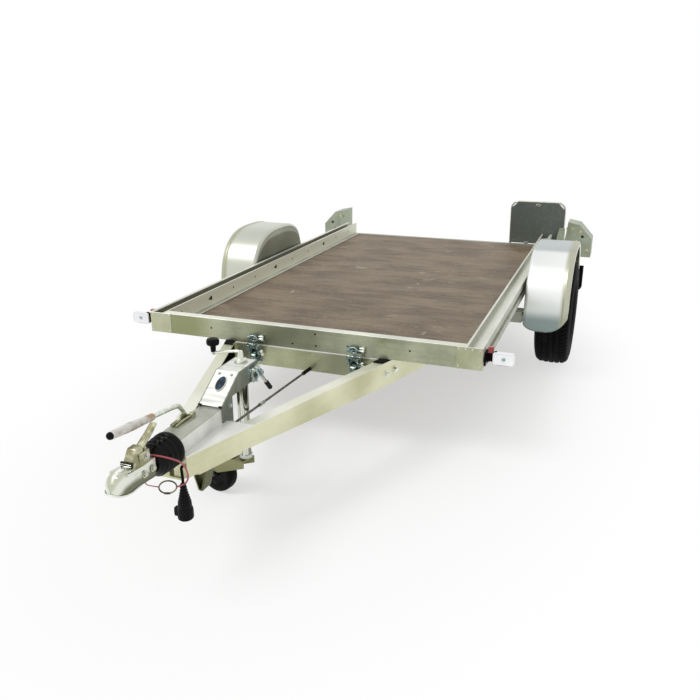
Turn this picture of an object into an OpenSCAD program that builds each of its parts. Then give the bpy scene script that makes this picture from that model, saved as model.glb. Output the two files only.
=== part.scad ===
// Tilt bed trailer: a flat plywood bed that tips about a cross pin behind the axle,
// on a V drawbar with an overrun coupling and a jockey wheel.
// Millimetres. +X is the right side in the photo, +Y is rearward, +Z is up, floor at z = 0.

/* [Bed] */
// Outer width of the bed over its side rails
bed_w = 1700; // [1300:10:2000]
// Bed length from the front beam's face to the rear beam's face
bed_len = 2878; // [2200:1:3400]
// Height of the side rails' top above the floor
rail_top = 575; // [450:1:700]
// Height of the front beam and of the side rails
beam_h = 103; // [80:1:140]
// Width of a side rail
rail_w = 80; // [60:1:100]
// Thickness of the folded steel of the bed
sheet = 3; // [2:0.5:5]
// Thickness of the plywood floor
ply = 15; // [12:1:21]
// Depth of the front beam's flanges
flange = 45; // [30:1:60]
// Width of the strip of each rail that laps over the plywood
lap = 30; // [15:1:45]
// Height of the cross members under the floor
cross_h = 40; // [30:1:60]
// Width of a cross member
cross_w = 50; // [40:1:80]
// Depth of the rear beam below the floor's top
rear_h = 78; // [60:1:100]

/* [Tilt pivot] */
// Distance of the pivot behind the bed's front face
pivot_back = 1898; // [1700:1:2100]
// Height of the pivot pin above the floor
pivot_z = 385; // [340:1:420]
// Radius of the pivot pin
pin_r = 12; // [8:0.5:16]
// Radial running clearance of pins in their bores
pin_gap = 0.06; // [0.02:0.01:0.1]
// Side clearance between a lug and the longitudinal
lug_gap = 6; // [5:0.5:12]
// Thickness of a lug
lug_t = 12; // [8:1:16]

/* [Drawbar] */
// Distance of the arms' front ends ahead of the bed's face
apex_ahead = 1087; // [900:1:1300]
// Half width over the arms at their front ends
apex_half = 78; // [60:1:110]
// Angle of each arm to the centre line, in degrees
arm_a = 17.7; // [12:0.1:24]
// Length of the arms' blunt front ends ahead of that station
nose = 50; // [0:1:60]
// Thickness of an arm
arm_t = 50; // [40:1:70]
// Height of the arms' top above the floor
arm_top = 465; // [430:1:470]
// Depth of an arm at its front end
arm_h0 = 80; // [60:1:100]
// Depth of an arm under the bed's front edge
arm_h1 = 115; // [90:1:130]
// Top of the longitudinals under the bed
long_top = 420; // [400:1:425]
// Outer half width over the longitudinals
long_half = 520; // [450:1:600]
// Length of a longitudinal's overhang behind the pivot
long_tail = 30; // [20:1:40]
// Thickness of the drawbar's plates
plate = 8; // [4:1:12]

/* [Coupling] */
// Height of the drawshaft's axis above the floor
draw_z = 490; // [450:1:520]
// Distance of the socket's centre ahead of the bed's face
socket_ahead = 1409; // [1300:1:1500]
// Outer radius of the coupling head round the ball
head_r = 42; // [36:1:50]
// Radius of the ball socket
socket_r = 25.6; // [25:0.1:26]
// Outer radius of the bellows at its rear flange
bellows_r = 63; // [50:1:75]

/* [Jockey wheel] */
// Distance of the jockey leg ahead of the bed's face
jack_ahead = 616; // [500:1:720]
// Outer radius of the leg
jack_r = 24; // [22:0.5:30]
// Trail of the jockey wheel behind its swivel
trail = 165; // [80:1:190]
// Angle of the fork to the trailer's cross line, in degrees
swivel = 13.6; // [0:0.1:90]
// Radius of the jockey wheel
jockey_r = 92; // [70:1:110]
// Width of the jockey wheel
jockey_w = 50; // [40:1:65]
// Lower end of the leg above the floor
jack_low = 206; // [180:1:240]
// Top of the leg above the floor
jack_high = 628; // [600:1:700]

/* [Wheels] */
// Outer radius of a tyre
tyre_r = 325; // [280:1:345]
// Width of a tyre
tyre_w = 205; // [165:1:225]
// Radius of the rim's bead seat
rim_r = 180; // [150:1:200]
// Distance from the bed's side to the middle of a tyre
wheel_side = 180; // [140:1:240]
// Distance of the wheels behind the bed's front face
wheel_back = 1598; // [1400:1:1800]
// Radius of a stub axle
stub_r = 20; // [15:1:25]
// Gap between a tyre's tread and the outer face of its mudguard
guard_over = 103; // [80:1:130]
// Gap between the bed's side and a mudguard
guard_gap = 20; // [10:1:30]
// Width of a mudguard
guard_w = 250; // [220:1:270]
// Thickness of a mudguard
guard_t = 3; // [2:0.5:5]

/* [Rear] */
// Width of a loading flap
flap_w = 420; // [300:1:450]
// Length of a loading flap from its hinge
flap_len = 356; // [250:1:400]
// Overhang of a flap beyond the bed's side
flap_side = 87; // [40:1:100]
// Angle of a lowered flap below the deck
flap_down = 30; // [5:1:40]
// Lean of a raised flap towards the bed
flap_lean = 4; // [2:1:10]
// Gap between a flap and a lamp box
box_gap = 10; // [6:1:20]
// Length of a lamp box
box_len = 200; // [150:1:300]
// Width of a lamp box
box_w = 193; // [170:1:260]

/* [Hidden] */
$fn = 48;

// The bed's front face, placed so that the whole trailer is centred on y = 0
front_y = -908;
rear_y = front_y + bed_len;
half_w = bed_w / 2;
beam_low = rail_top - beam_h;
deck_low = beam_low + sheet;
deck_top = deck_low + ply;
rail_in = half_w - rail_w;
pivot_y = front_y + pivot_back;
apex_y = front_y - apex_ahead;
nose_y = apex_y - nose;
bend_y = apex_y + (long_half - apex_half) / tan(arm_a);
arm_low0 = arm_top - arm_h0;
arm_low1 = arm_top - arm_h1;
cross_low = deck_low - cross_h;
wheel_y = front_y + wheel_back;
jack_y = front_y - jack_ahead;
head_y = front_y - socket_ahead;
axle_y = wheel_y - 150;
axle_s = 70;
axle_z = arm_low1 - axle_s / 2;
track_half = half_w + wheel_side;
guard_r = tyre_r + guard_over;
guard_in = half_w + guard_gap;
guard_out = guard_in + guard_w;
flap_out = half_w + flap_side;
flap_mid = flap_out - flap_w / 2;
box_in = flap_out + box_gap;
steel = [0.78, 0.79, 0.76];
zinc = [0.70, 0.72, 0.72];
black = [0.06, 0.06, 0.06];

function arm_out(y) = apex_half + (y - apex_y) * tan(arm_a);
function arm_in(y) = arm_out(y) - arm_t / cos(arm_a);

// Extrusions of a profile along each axis
module along_x(x0, x1) translate([x0, 0, 0]) rotate([90, 0, 90]) linear_extrude(x1 - x0) children();
module along_y(y0, y1) translate([0, y1, 0]) rotate([90, 0, 0]) linear_extrude(y1 - y0) children();
module along_z(z0, z1) translate([0, 0, z0]) linear_extrude(z1 - z0) children();
module block(x0, x1, y0, y1, z0, z1) translate([x0, y0, z0]) cube([x1 - x0, y1 - y0, z1 - z0]);
module x_rod(x0, x1, y, z, r) translate([x0, y, z]) rotate([0, 90, 0]) cylinder(h = x1 - x0, r = r);
module y_rod(y0, y1, x, z, r) translate([x, y1, z]) rotate([90, 0, 0]) cylinder(h = y1 - y0, r = r);
module pair() {
  children();
  mirror([1, 0, 0]) children();
}

// A straight round bar from p to q
module bar(p, q, r) {
  d = q - p;
  n = norm(d);
  translate(p) rotate([0, acos(d[2] / n), atan2(d[1], d[0])]) cylinder(h = n, r = r);
}

// A tube swept along points smoothed by a Catmull-Rom curve
function cr(a, b, c, d, t) = 0.5 * (2 * b + (c - a) * t + (2 * a - 5 * b + 4 * c - d) * t * t
  + (3 * b - a - 3 * c + d) * t * t * t);
function pick(p, i) = p[max(0, min(len(p) - 1, i))];
function curve(p, k) = [for (i = [0 : len(p) - 2], j = [0 : k - 1])
  cr(pick(p, i - 1), p[i], p[i + 1], pick(p, i + 2), j / k), p[len(p) - 1]];
function unit(v) = v / norm(v);
function tangent(c, i) = unit(pick(c, i + 1) - pick(c, i - 1));
function level(n, t) = unit(n - (n * t) * t);
function frames(c, n0) = [for (i = 0, n = level(n0, tangent(c, 0)); i < len(c);
  i = i + 1, n = i < len(c) ? level(n, tangent(c, i)) : n) n];
module tube(p, k, r, sides, n0) {
  c = curve(p, k);
  f = frames(c, n0);
  m = len(c);
  pts = [for (i = [0 : m - 1], j = [0 : sides - 1])
    c[i] + r * (cos(360 * j / sides) * f[i] + sin(360 * j / sides) * cross(tangent(c, i), f[i]))];
  sides_1 = [for (i = [0 : m - 2], j = [0 : sides - 1])
    [i * sides + j, (i + 1) * sides + j, (i + 1) * sides + (j + 1) % sides]];
  sides_2 = [for (i = [0 : m - 2], j = [0 : sides - 1])
    [i * sides + j, (i + 1) * sides + (j + 1) % sides, i * sides + (j + 1) % sides]];
  cap_0 = [[for (j = [0 : sides - 1]) j]];
  cap_1 = [[for (j = [sides - 1 : -1 : 0]) (m - 1) * sides + j]];
  polyhedron(pts, concat(sides_1, sides_2, cap_0, cap_1), convexity = 6);
}

// Chassis: two arms that bend into longitudinals and carry the pivot pins
module arm_right() {
  long_in = long_half - arm_t;
  end_y = pivot_y + long_tail;
  bend_in = bend_y + (arm_t / cos(arm_a) - arm_t) / tan(arm_a);
  intersection() {
    along_z(arm_low1 - 50, arm_top + 50) polygon([[arm_in(nose_y), nose_y], [arm_out(nose_y), nose_y],
      [long_half, bend_y], [long_half, end_y], [long_in, end_y], [long_in, bend_in]]);
    along_x(-10, bed_w) polygon([[nose_y - 9, arm_low0], [nose_y - 9, arm_top], [bend_y, arm_top],
      [bend_y + 45, long_top], [end_y + 9, long_top], [end_y + 9, arm_low1], [front_y - 20, arm_low1],
      [apex_y + 200, arm_low0]]);
  }
  x_rod(long_half - arm_t - lug_gap - lug_t - 8, long_half + lug_gap + lug_t + 8, pivot_y, pivot_z, pin_r);
}
// The hollow of an arm's channel, open towards the middle, between the top plate and the cross beam
arm_wall = 5;
module arm_hollow() {
  y0 = apex_y + top_back + 15;
  y1 = front_y - 15;
  drop = (arm_low0 - arm_low1) / (front_y - 20 - apex_y - 200);
  function low(y) = arm_low0 + arm_wall - max(0, y - apex_y - 200) * drop;
  intersection() {
    along_z(arm_low1 - 50, arm_top - arm_wall) polygon([[arm_in(y0) - 20, y0], [arm_out(y0) - arm_wall, y0],
      [arm_out(y1) - arm_wall, y1], [arm_in(y1) - 20, y1]]);
    along_x(-10, bed_w) polygon([[y0, low(y0)], [y0, arm_top], [y1, arm_top], [y1, low(y1)]]);
  }
}
module drawbar_arms() color(steel) pair() difference() {
  arm_right();
  arm_hollow();
}

module drawbar_cross_beam() color(steel) along_z(arm_top - 100, arm_top) {
  y0 = front_y;
  y1 = front_y + 50;
  polygon([[-arm_in(y0), y0], [arm_in(y0), y0], [arm_in(y1), y1], [-arm_in(y1), y1]]);
}

top_back = 255;
module drawbar_top_plate() color(steel) along_z(arm_top, arm_top + 4) {
  y1 = apex_y + top_back;
  polygon([[-arm_out(nose_y), nose_y], [arm_out(nose_y), nose_y], [arm_out(y1), y1], [-arm_out(y1), y1]]);
}

base_y0 = apex_y - 56;
base_y1 = apex_y + 195;
module drawbar_base_plate() color(steel) along_z(arm_low0 - plate, arm_low0)
  polygon([[-44, base_y0], [44, base_y0], [46, apex_y - 10], [apex_half, apex_y], [arm_out(base_y1), base_y1],
    [-arm_out(base_y1), base_y1], [-apex_half, apex_y], [-46, apex_y - 10]]);

skid_z = 236;
module skid_bracket() color(steel) along_y(base_y1 - 80, base_y1 - 20) {
  z1 = arm_low0 - plate;
  polygon([[-46, z1], [-10, skid_z], [10, skid_z], [46, z1], [38, z1], [5, skid_z + 6], [-5, skid_z + 6], [-38, z1]]);
}

house_half = 45;
house_top = 532;
house_y0 = nose_y - 2;
house_y1 = apex_y + 235;
module overrun_housing() color(steel) {
  along_x(-house_half, house_half) polygon([[house_y0, arm_top + 4], [house_y1, arm_top + 4],
    [house_y1, house_top - 6], [house_y0 + 60, house_top], [house_y0, house_top - 4]]);
}

bellows_len = 115;
bellows_y1 = house_y0;
bellows_ribs = 4;
module drawbar_bellows() color(black)
  translate([0, bellows_y1, draw_z]) rotate([90, 0, 0]) rotate_extrude($fn = 72)
    polygon(concat([[0, 0], [bellows_r, 0], [bellows_r, 10]],
      [for (i = [0 : bellows_ribs - 1], e = [0, 1]) let (s = (i + 0.35 + 0.5 * e) / bellows_ribs)
        [bellows_r - 8 * s - (e == 0 ? 9 : 0) - (i == bellows_ribs - 1 ? 4 : 0), 12 + s * (bellows_len - 24)]],
      [[38, bellows_len - 8], [38, bellows_len], [0, bellows_len]]));

shaft_r = 25;
head_low = 478;
neck_y1 = bellows_y1 - bellows_len;
neck_top = 524;
module coupling_head() color(steel) difference() {
  union() {
    translate([0, head_y, 0]) rotate_extrude($fn = 72)
      polygon([[0, head_low], [head_r, head_low], [head_r, head_low + 24], [head_r - 4, head_low + 38],
        [head_r - 13, head_low + 50], [head_r - 26, head_low + 57], [0, head_low + 59]]);
    intersection() {
      along_x(-head_r, head_r) polygon([[head_y, head_low + 8], [neck_y1 - 50, draw_z - shaft_r],
        [neck_y1 - 12, draw_z - shaft_r], [neck_y1 - 12, neck_top], [neck_y1 - 70, neck_top],
        [head_y, head_low + 56]]);
      along_z(draw_z - shaft_r - 5, neck_top + 20) polygon([[-head_r + 8, head_y], [head_r - 8, head_y],
        [shaft_r + 8, neck_y1 - 60], [shaft_r + 8, neck_y1 - 12], [-shaft_r - 8, neck_y1 - 12],
        [-shaft_r - 8, neck_y1 - 60]]);
    }
    y_rod(neck_y1 - 20, neck_y1, 0, draw_z, shaft_r);
  }
  translate([0, head_y, head_low - 1]) cylinder(h = 36, r = socket_r, $fn = 72);
}

module coupling_lever() color(zinc) along_x(-11, 11)
  polygon([[neck_y1 - 68, neck_top], [neck_y1 - 20, neck_top], [neck_y1 - 28, neck_top + 34],
    [neck_y1 + 44, neck_top + 84], [neck_y1 + 39, neck_top + 96], [neck_y1 - 68, neck_top + 48]]);

// Handbrake on the housing's left side: pivot, bend and hand end, as [y, z]
hb_pivot = [apex_y + 160, 492];
hb_bend = [apex_y + 92, 582];
hb_end = [apex_y - 288, 632];
hb_x = -house_half;
hb_t = 12;
grip_len = 230;
function hb_dir() = unit(hb_end - hb_bend);
function hb_nor() = [-hb_dir()[1], hb_dir()[0]];
function hb_at(d) = hb_end - d * hb_dir();
module handbrake_lever() color(zinc) {
  w = 9;
  g = hb_at(grip_len);
  along_x(hb_x - hb_t, hb_x) union() {
    polygon([hb_pivot + [-14, -6], hb_pivot + [14, 6], hb_bend + [10, 8], hb_bend + w * hb_nor() * -1,
      hb_bend + w * hb_nor()]);
    polygon([hb_bend + w * hb_nor(), hb_bend - w * hb_nor(), g - w * hb_nor(), g + w * hb_nor()]);
    translate(hb_pivot) circle(r = 20);
    translate(hb_bend) circle(r = 10);
  }
}
module handbrake_grip() color([0.8, 0.79, 0.75]) {
  g = hb_at(grip_len);
  x = hb_x - hb_t / 2;
  bar([x, g[0], g[1]], [x, hb_end[0], hb_end[1]], 17);
}

// Tower of folded sheet that carries the jockey leg's clamp
tower_half = 50;
tower_t = 4;
tower_foot = apex_y + 222;
tower_brow = apex_y + 362;
tower_top = 622;
tower_back = jack_y + 42;
tower_z0 = arm_top + 4;
tower_leg = apex_y + 303;
tower_low = arm_top - 41;
tower_slope = atan2(tower_top - 535, tower_brow - tower_foot);
module jack_tower() color(steel) difference() {
  union() {
    pair() along_x(tower_half - tower_t, tower_half)
      polygon([[house_y1 - 8, tower_z0], [tower_foot, 535], [tower_brow, tower_top],
        [tower_back, tower_top], [tower_back, 548], [tower_leg, 548], [tower_leg, tower_low],
        [apex_y + top_back, tower_low], [apex_y + top_back, tower_z0]]);
    along_x(-tower_half, tower_half) {
      polygon([[tower_foot, 535], [tower_brow, tower_top], [tower_back, tower_top],
        [tower_back, tower_top - 5], [tower_brow + 2, tower_top - 5], [tower_foot + 3, 531]]);
    }
  }
  translate([0, jack_y, tower_top - 20]) cylinder(h = 40, r = jack_r + 3);
  x_rod(20, 80, clamp_p[0], clamp_p[1], 9.5);
}
module tower_disc() color([0.12, 0.25, 0.33]) translate([0, tower_foot + 0.62 * (tower_brow - tower_foot), 535 + 0.62 * (tower_top - 535)])
  rotate([tower_slope, 0, 0]) linear_extrude(4) union() {
    square([36, 30], center = true);
    for (y = [-15, 15]) translate([0, y]) circle(r = 18);
  }

clamp_z = 572;
// The clamp lever's pivot, the foot of its grip and its end, as [y, z]
clamp_p = [jack_y + 38, clamp_z];
clamp_q = [jack_y + 98, clamp_z - 65];
clamp_e = clamp_q + 48 * unit(clamp_q - clamp_p);
clamp_n = [-unit(clamp_q - clamp_p)[1], unit(clamp_q - clamp_p)[0]];
module jack_clamp() color(zinc) difference() {
  union() {
    translate([0, jack_y, clamp_z - 15]) cylinder(h = 30, r = jack_r + 9);
    block(-tower_half + tower_t, tower_half - tower_t, jack_y - 12, jack_y + 12, clamp_z - 15, clamp_z + 15);
    block(12, 40, jack_y + 14, jack_y + 50, clamp_z - 11, clamp_z + 11);
    x_rod(20, 66, clamp_p[0], clamp_p[1], 9);
    along_x(53, 63) polygon([clamp_p + 5 * clamp_n, clamp_q + 5 * clamp_n, clamp_q - 5 * clamp_n,
      clamp_p - 5 * clamp_n]);
  }
  translate([0, jack_y, clamp_z - 20]) cylinder(h = 40, r = jack_r + 0.1);
}
module jack_clamp_grip() color(black)
  bar([58, clamp_q[0], clamp_q[1]], [58, clamp_e[0], clamp_e[1]], 10);

// Brake rod below the top plate, from its bell crank to a boot on the cross beam
rod_a = [40, apex_y + 245, arm_top - 34];
rod_b = [27, front_y, arm_top - 89];
boot_len = 80;
function rod_at(d) = rod_b + d * unit(rod_a - rod_b);
module brake_rod() color(zinc) {
  bar(rod_a, rod_at(boot_len), 5);
  block(rod_a[0] - 5, rod_a[0] + 5, rod_a[1] - 25, rod_a[1] + 5, rod_a[2] - 20, arm_top);
}
module brake_rod_boot() color(black) intersection() {
  bar(rod_at(boot_len), rod_at(-10), 9);
  block(0, 200, front_y - 200, front_y, 300, 600);
}

// Rubber torsion axle under the longitudinals, with trailing arms and stub axles
axle_half = track_half - 194;
module axle_beam() color(steel)
  block(-axle_half, axle_half, axle_y - axle_s / 2, axle_y + axle_s / 2, axle_z - axle_s / 2, axle_z + axle_s / 2);
stub_end = track_half - 20;
arm_boss_r = 36;
module swing_arms() color(zinc) pair() {
  x_rod(axle_half, axle_half + 24, axle_y, axle_z, 34);
  x_rod(axle_half, axle_half + 24, wheel_y, tyre_r, arm_boss_r);
  along_x(axle_half + 4, axle_half + 24)
    polygon([[axle_y, axle_z - 32], [wheel_y, tyre_r - 34], [wheel_y, tyre_r + 34], [axle_y + 60, axle_z + 32],
      [axle_y, axle_z + 32]]);
  x_rod(axle_half, stub_end, wheel_y, tyre_r, stub_r);
}

// Round mudguards with an outer lip and a closed inner side above the axle
guard_floor = tyre_r + 105;
guard_rear = 30;
stay_z = tyre_r + guard_r * sin(guard_rear) - 19;
module ring_sector(r0, r1, a0, a1) {
  n = 24;
  polygon(concat([for (i = [0 : n]) let (a = a0 + (a1 - a0) * i / n) r1 * [cos(a), sin(a)]],
    [for (i = [n : -1 : 0]) let (a = a0 + (a1 - a0) * i / n) r0 * [cos(a), sin(a)]]));
}
module mudguards() color([0.82, 0.84, 0.85]) pair() {
  translate([0, wheel_y, tyre_r]) difference() {
    union() {
      difference() {
        x_rod(guard_in, guard_out, 0, 0, guard_r);
        x_rod(guard_in + guard_t, guard_out - guard_t, 0, 0, guard_r - guard_t);
        x_rod(guard_out - 10, guard_out + 10, 0, 0, guard_r - 28);
      }
    }
    block(guard_in - 10, guard_out + 10, -guard_r - 10, guard_r + 10, -guard_r - 10, -8);
    block(guard_in - 10, guard_in + guard_t, -guard_r - 10, guard_r + 10, -20, guard_floor - tyre_r);
    block(guard_in - 10, guard_out + 10, guard_r * cos(guard_rear), guard_r + 10, -20, guard_r);
  }
  block(guard_in + 15, guard_out - 15, wheel_y + guard_r * cos(guard_rear) - 10,
    wheel_y + guard_r * cos(guard_rear), stay_z, stay_z + 25);
}
module guard_brackets() color(zinc) pair() {
  difference() {
    block(guard_in - 8, guard_in, axle_y - 30, wheel_y + 120, arm_low1 + 8, guard_floor + 90);
    x_rod(guard_in - 20, guard_in + 10, wheel_y, tyre_r, arm_boss_r + 6);
  }
  block(guard_in - 80, guard_in, axle_y - 30, axle_y + 30, arm_low1, arm_low1 + 8);
}
flap_y = wheel_y + guard_r * cos(guard_rear);
module mudflaps() color(black) pair() along_y(flap_y, flap_y + 5) union() {
  translate([guard_in + 25, stay_z - 110]) square([guard_out + 26 - guard_in - 25, 135]);
  translate([guard_in + 60, stay_z - 145]) square([guard_out + 26 - guard_in - 95, 40]);
  for (x = [guard_in + 60, guard_out - 9]) translate([x, stay_z - 110]) circle(r = 35);
}

// Two toggle latches, shown released so that the bed is free to tip
latch_x = [-254, 262];
module latch_bases() color(zinc) for (x = latch_x) translate([x, front_y, 0]) {
  block(-24, 24, -6, 0, 380, 456);
  pair() block(14, 20, -26, -6, 400, 440);
  x_rod(-26, 26, -18, 428, 5);
  pair() bar([24, -18, 428], [24, -46, 482], 4);
  x_rod(-28, 28, -46, 482, 5);
  block(-8, 8, -24, -10, 384, 424);
}
module latch_hooks() color(zinc) for (x = latch_x) translate([x, front_y, 0]) {
  block(-22, 22, -6, 0, 484, 520);
  pair() block(12, 18, -22, -6, 490, 514);
  x_rod(-24, 24, -16, 502, 6);
}
// Rubber pads on the arms, on which the front beam rests
pad_y0 = front_y - 45;
pad_y1 = front_y + 42;
module rest_pads() color(black) pair() along_z(arm_top, beam_low - 0.3)
  polygon([[arm_in(pad_y0) + 4, pad_y0], [arm_out(pad_y0) - 4, pad_y0], [arm_out(pad_y1) - 4, pad_y1],
    [arm_in(pad_y1) + 4, pad_y1]]);

// Plug on its cable, and the red breakaway cable with its hook
plug_p = [58, nose_y - 24, 378];
module plug() color(black) translate([plug_p[0], plug_p[1], 0]) rotate_extrude($fn = 40)
  polygon([[0, 244], [27, 244], [27, 284], [24, 288], [24, 306], [16, 338], [9, 360], [9, 378], [0, 378]]);
plug_pts = [[46, nose_y - 0.4, 430], [48, nose_y - 12, 429], [55, nose_y - 21, 418], [58, nose_y - 24, 400],
  [58, nose_y - 24, 378.4]];
module plug_cable() color(black) tube(plug_pts, 4, 5, 10, [1, 0, 0]);
hook_c = [14, apex_y - 100, 370];
hook_r = 30;
function hook_at(a) = hook_c + hook_r * [cos(a), sin(a), 0];
red_pts = [[-45.6, apex_y + 10, 500], [-60, apex_y + 9, 500], [-72, apex_y - 20, 494], [-73, apex_y - 80, 486],
  [-62, apex_y - 140, 506], [-38, apex_y - 174, 526], [0, apex_y - 182, 531], [56, apex_y - 160, 520], [88, apex_y - 118, 484],
  [92, apex_y - 92, 430], [80, apex_y - 88, 394], hook_at(20)];
tail_pts = [hook_at(200), [-14, apex_y - 144, 392], [0, apex_y - 192, 426], [0, apex_y - 200, 446],
  [0, apex_y - 200, draw_z - shaft_r - 0.3]];
module breakaway_cable() color([0.7, 0.08, 0.1]) {
  tube(red_pts, 5, 3, 8, [0, 0, 1]);
  tube(tail_pts, 5, 2, 8, [1, 0, 0]);
}
module carabiner() color(zinc) translate(hook_c) rotate([0, 0, 20]) rotate([50, 0, 0])
  rotate_extrude($fn = 40) translate([hook_r, 0]) circle(r = 4, $fn = 16);

// Bed: folded front beam and rails round a plywood floor
module front_beam() color(steel) {
  block(lap - rail_in, rail_in - lap, front_y, front_y + sheet, beam_low, rail_top);
  block(-rail_in, rail_in, front_y, front_y + flange, rail_top - sheet, rail_top);
  block(lap - rail_in, rail_in - lap, front_y, front_y + flange, beam_low, deck_low);
}
module corner_plates() color([0.84, 0.85, 0.8]) pair()
  block(half_w - 120, half_w, front_y - 2, front_y, beam_low, rail_top);
// One rail's section as [across, height], a box with a channel on top and a slot outside
module rail_section() {
  t = sheet;
  h = beam_h;
  w = rail_w;
  polygon([[-lap, 0], [w, 0], [w, 34], [w - 22, 34], [w - 22, 66], [w, 66], [w, h], [w - 18, h], [w - 18, h - t],
    [w - t, h - t], [w - t, 69 + t], [t, 69 + t], [t, h - t], [10, h - t], [10, h], [0, h], [0, t + ply + 2], [-lap, t + ply + 2],
    [-lap, t + ply], [0, t + ply], [0, t], [-lap, t]]);
}
module rail_hollow() {
  t = sheet;
  w = rail_w;
  polygon([[t, t], [w - t, t], [w - t, 34 - t], [w - 22 - t, 34 - t], [w - 22 - t, 69], [t, 69]]);
}
module side_rails() color(steel) pair() translate([rail_in, 0, beam_low]) difference() {
  along_y(front_y, rear_y) rail_section();
  along_y(front_y - 1, rear_y + 1) rail_hollow();
}
module deck_floor() color([0.42, 0.36, 0.32])
  block(-rail_in, rail_in, front_y + sheet, rear_y - sheet, deck_low, deck_top);
hinge_lugs = [flap_mid - 150, flap_mid - 10];
module rear_beam() color(steel) {
  z0 = deck_top - rear_h;
  block(-rail_in + lap, rail_in - lap, rear_y - sheet, rear_y, z0, deck_top + 2);
  block(-rail_in + lap, rail_in - lap, rear_y - 40, rear_y, deck_top, deck_top + 2);
  block(-rail_in + lap, rail_in - lap, rear_y - 40, rear_y, z0, z0 + sheet);
  pair() for (x = hinge_lugs) difference() {
    along_x(x, x + 12) union() {
      translate([hinge_y, hinge_z]) circle(r = hinge_r + 6);
      translate([rear_y - 1, hinge_z - 16]) square([hinge_y - rear_y + 1, 32]);
    }
    x_rod(x - 50, x + 50, hinge_y, hinge_z, hinge_r + pin_gap);
  }
}
// Cross members ahead of the pivot and behind it, as shares of those two spans, and one at the pivot
cross_at = concat([for (k = [0.2266, 0.4215, 0.6164, 0.8114, 1]) k * pivot_back],
  [for (k = [0.38, 0.737]) pivot_back + k * (bed_len - pivot_back)]);
module cross_members() color(steel) for (y = cross_at)
  block(-rail_in + lap, rail_in - lap, front_y + y - cross_w / 2, front_y + y + cross_w / 2, cross_low, deck_low);
module pivot_lugs() color(steel) pair() difference() {
  for (x = [long_half - arm_t - lug_gap - lug_t, long_half + lug_gap])
    along_x(x, x + lug_t) union() {
      translate([pivot_y, pivot_z]) circle(r = 30);
      translate([pivot_y - 24, pivot_z]) square([48, cross_low - pivot_z]);
    }
  x_rod(long_half - 200, long_half + 200, pivot_y, pivot_z, pin_r + pin_gap);
}

// Rear corners: lamp boxes of folded sheet on brackets from the rails
box_y0 = rear_y + 202;
box_y1 = box_y0 + box_len - 16;
box_low = 374;
box_top = 646;
box_knee = 520;
box_chamfer = 100;
box_out = box_in + box_w;
lamp_tail = box_y0 + box_len;
function box_line(d) = [[box_in + d, box_low], [box_in + d, box_top - d], [box_out - box_chamfer - d, box_top - 18 - d],
  [box_out - d, box_knee], [box_out - d, box_low]];
module lamp_boxes() color(steel) pair() {
  difference() {
    along_y(box_y0, box_y1) polygon(box_line(0));
    along_y(box_y0 + sheet, box_y1 + 10) polygon(concat([[box_in + sheet, box_low - 10]],
      [for (i = [0 : 4]) box_line(sheet)[i]], [[box_out - sheet, box_low - 10]]));
  }
  along_x(box_in, box_in + sheet) polygon([[rear_y - 90, beam_low], [rear_y - 90, beam_low + 60],
    [rear_y + 40, beam_low + 96], [box_y0 + 1, box_top - 4], [box_y0 + 1, box_low + 40], [rear_y + 60, beam_low - 30]]);
  block(half_w, box_in + 1, rear_y - 80, rear_y - 10, beam_low + 3, beam_low + 31);
}
module tail_lamps() color([0.6, 0.06, 0.06]) pair()
  block(box_in + sheet, box_out - sheet, box_y1 - 30, lamp_tail, 392, 500);

// Marker lamps on rubber arms at the front corners
mark_x = half_w + 84;
mark_y = front_y + 48;
mark_z = 525;
mark_w = 94;
mark_h = 56;
module marker_arms() color(black) pair() {
  block(half_w, half_w + 10, mark_y - 22, mark_y + 40, mark_z - 40, mark_z + 22);
  block(half_w + 10, mark_x - mark_w / 2 + 20, mark_y, mark_y + 22, mark_z - 22, mark_z + 16);
}
module lamp_shape(w, h, y0, y1) along_y(y0, y1) {
  r = 10;
  square([w, h - 2 * r], center = true);
  square([w - 2 * r, h], center = true);
  for (x = [r - w / 2, w / 2 - r], z = [r - h / 2, h / 2 - r]) translate([x, z]) circle(r = r);
}
module marker_lenses() color([0.95, 0.95, 0.95]) pair() translate([mark_x, 0, mark_z])
  lamp_shape(mark_w, mark_h, mark_y - 18, mark_y);
module marker_reflectors() color([0.75, 0.1, 0.1]) pair()
  block(half_w + 12, half_w + 36, mark_y + 2, mark_y + 20, mark_z + 16, mark_z + 44);

// Wheels: section points are [radius, across]
module tyre() rotate([0, 90, 0]) rotate_extrude($fn = 96) polygon([[rim_r + 2, -tyre_w * 0.36],
  [rim_r + 30, -tyre_w * 0.46], [tyre_r * 0.78, -tyre_w / 2], [tyre_r - 30, -tyre_w * 0.47],
  [tyre_r - 8, -tyre_w * 0.40], [tyre_r, -tyre_w * 0.28], [tyre_r, tyre_w * 0.28],
  [tyre_r - 8, tyre_w * 0.40], [tyre_r - 30, tyre_w * 0.47], [tyre_r * 0.78, tyre_w / 2],
  [rim_r + 30, tyre_w * 0.46], [rim_r + 2, tyre_w * 0.36]]);
module rim() rotate([0, 90, 0]) difference() {
  rotate_extrude($fn = 96) polygon([[stub_r + 0.06, -112], [105, -112], [105, -72], [60, -60], [60, -4],
    [110, 10], [rim_r - 30, -6], [rim_r - 22, -70], [rim_r + 2, -tyre_w * 0.36], [rim_r + 2, tyre_w * 0.36],
    [rim_r - 10, tyre_w * 0.36], [rim_r - 22, 30], [rim_r - 34, 6], [110, 20], [60, 12], [34, 12], [34, 30],
    [0, 30], [0, -18], [stub_r + 0.06, -18]]);
}
module at_wheel(s) translate([s * track_half, wheel_y, tyre_r]) scale([s, 1, 1]) children();
module tyre_left() color(black) at_wheel(-1) tyre();
module tyre_right() color(black) at_wheel(1) tyre();
module rim_left() color([0.75, 0.76, 0.78]) at_wheel(-1) rim();
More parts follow.
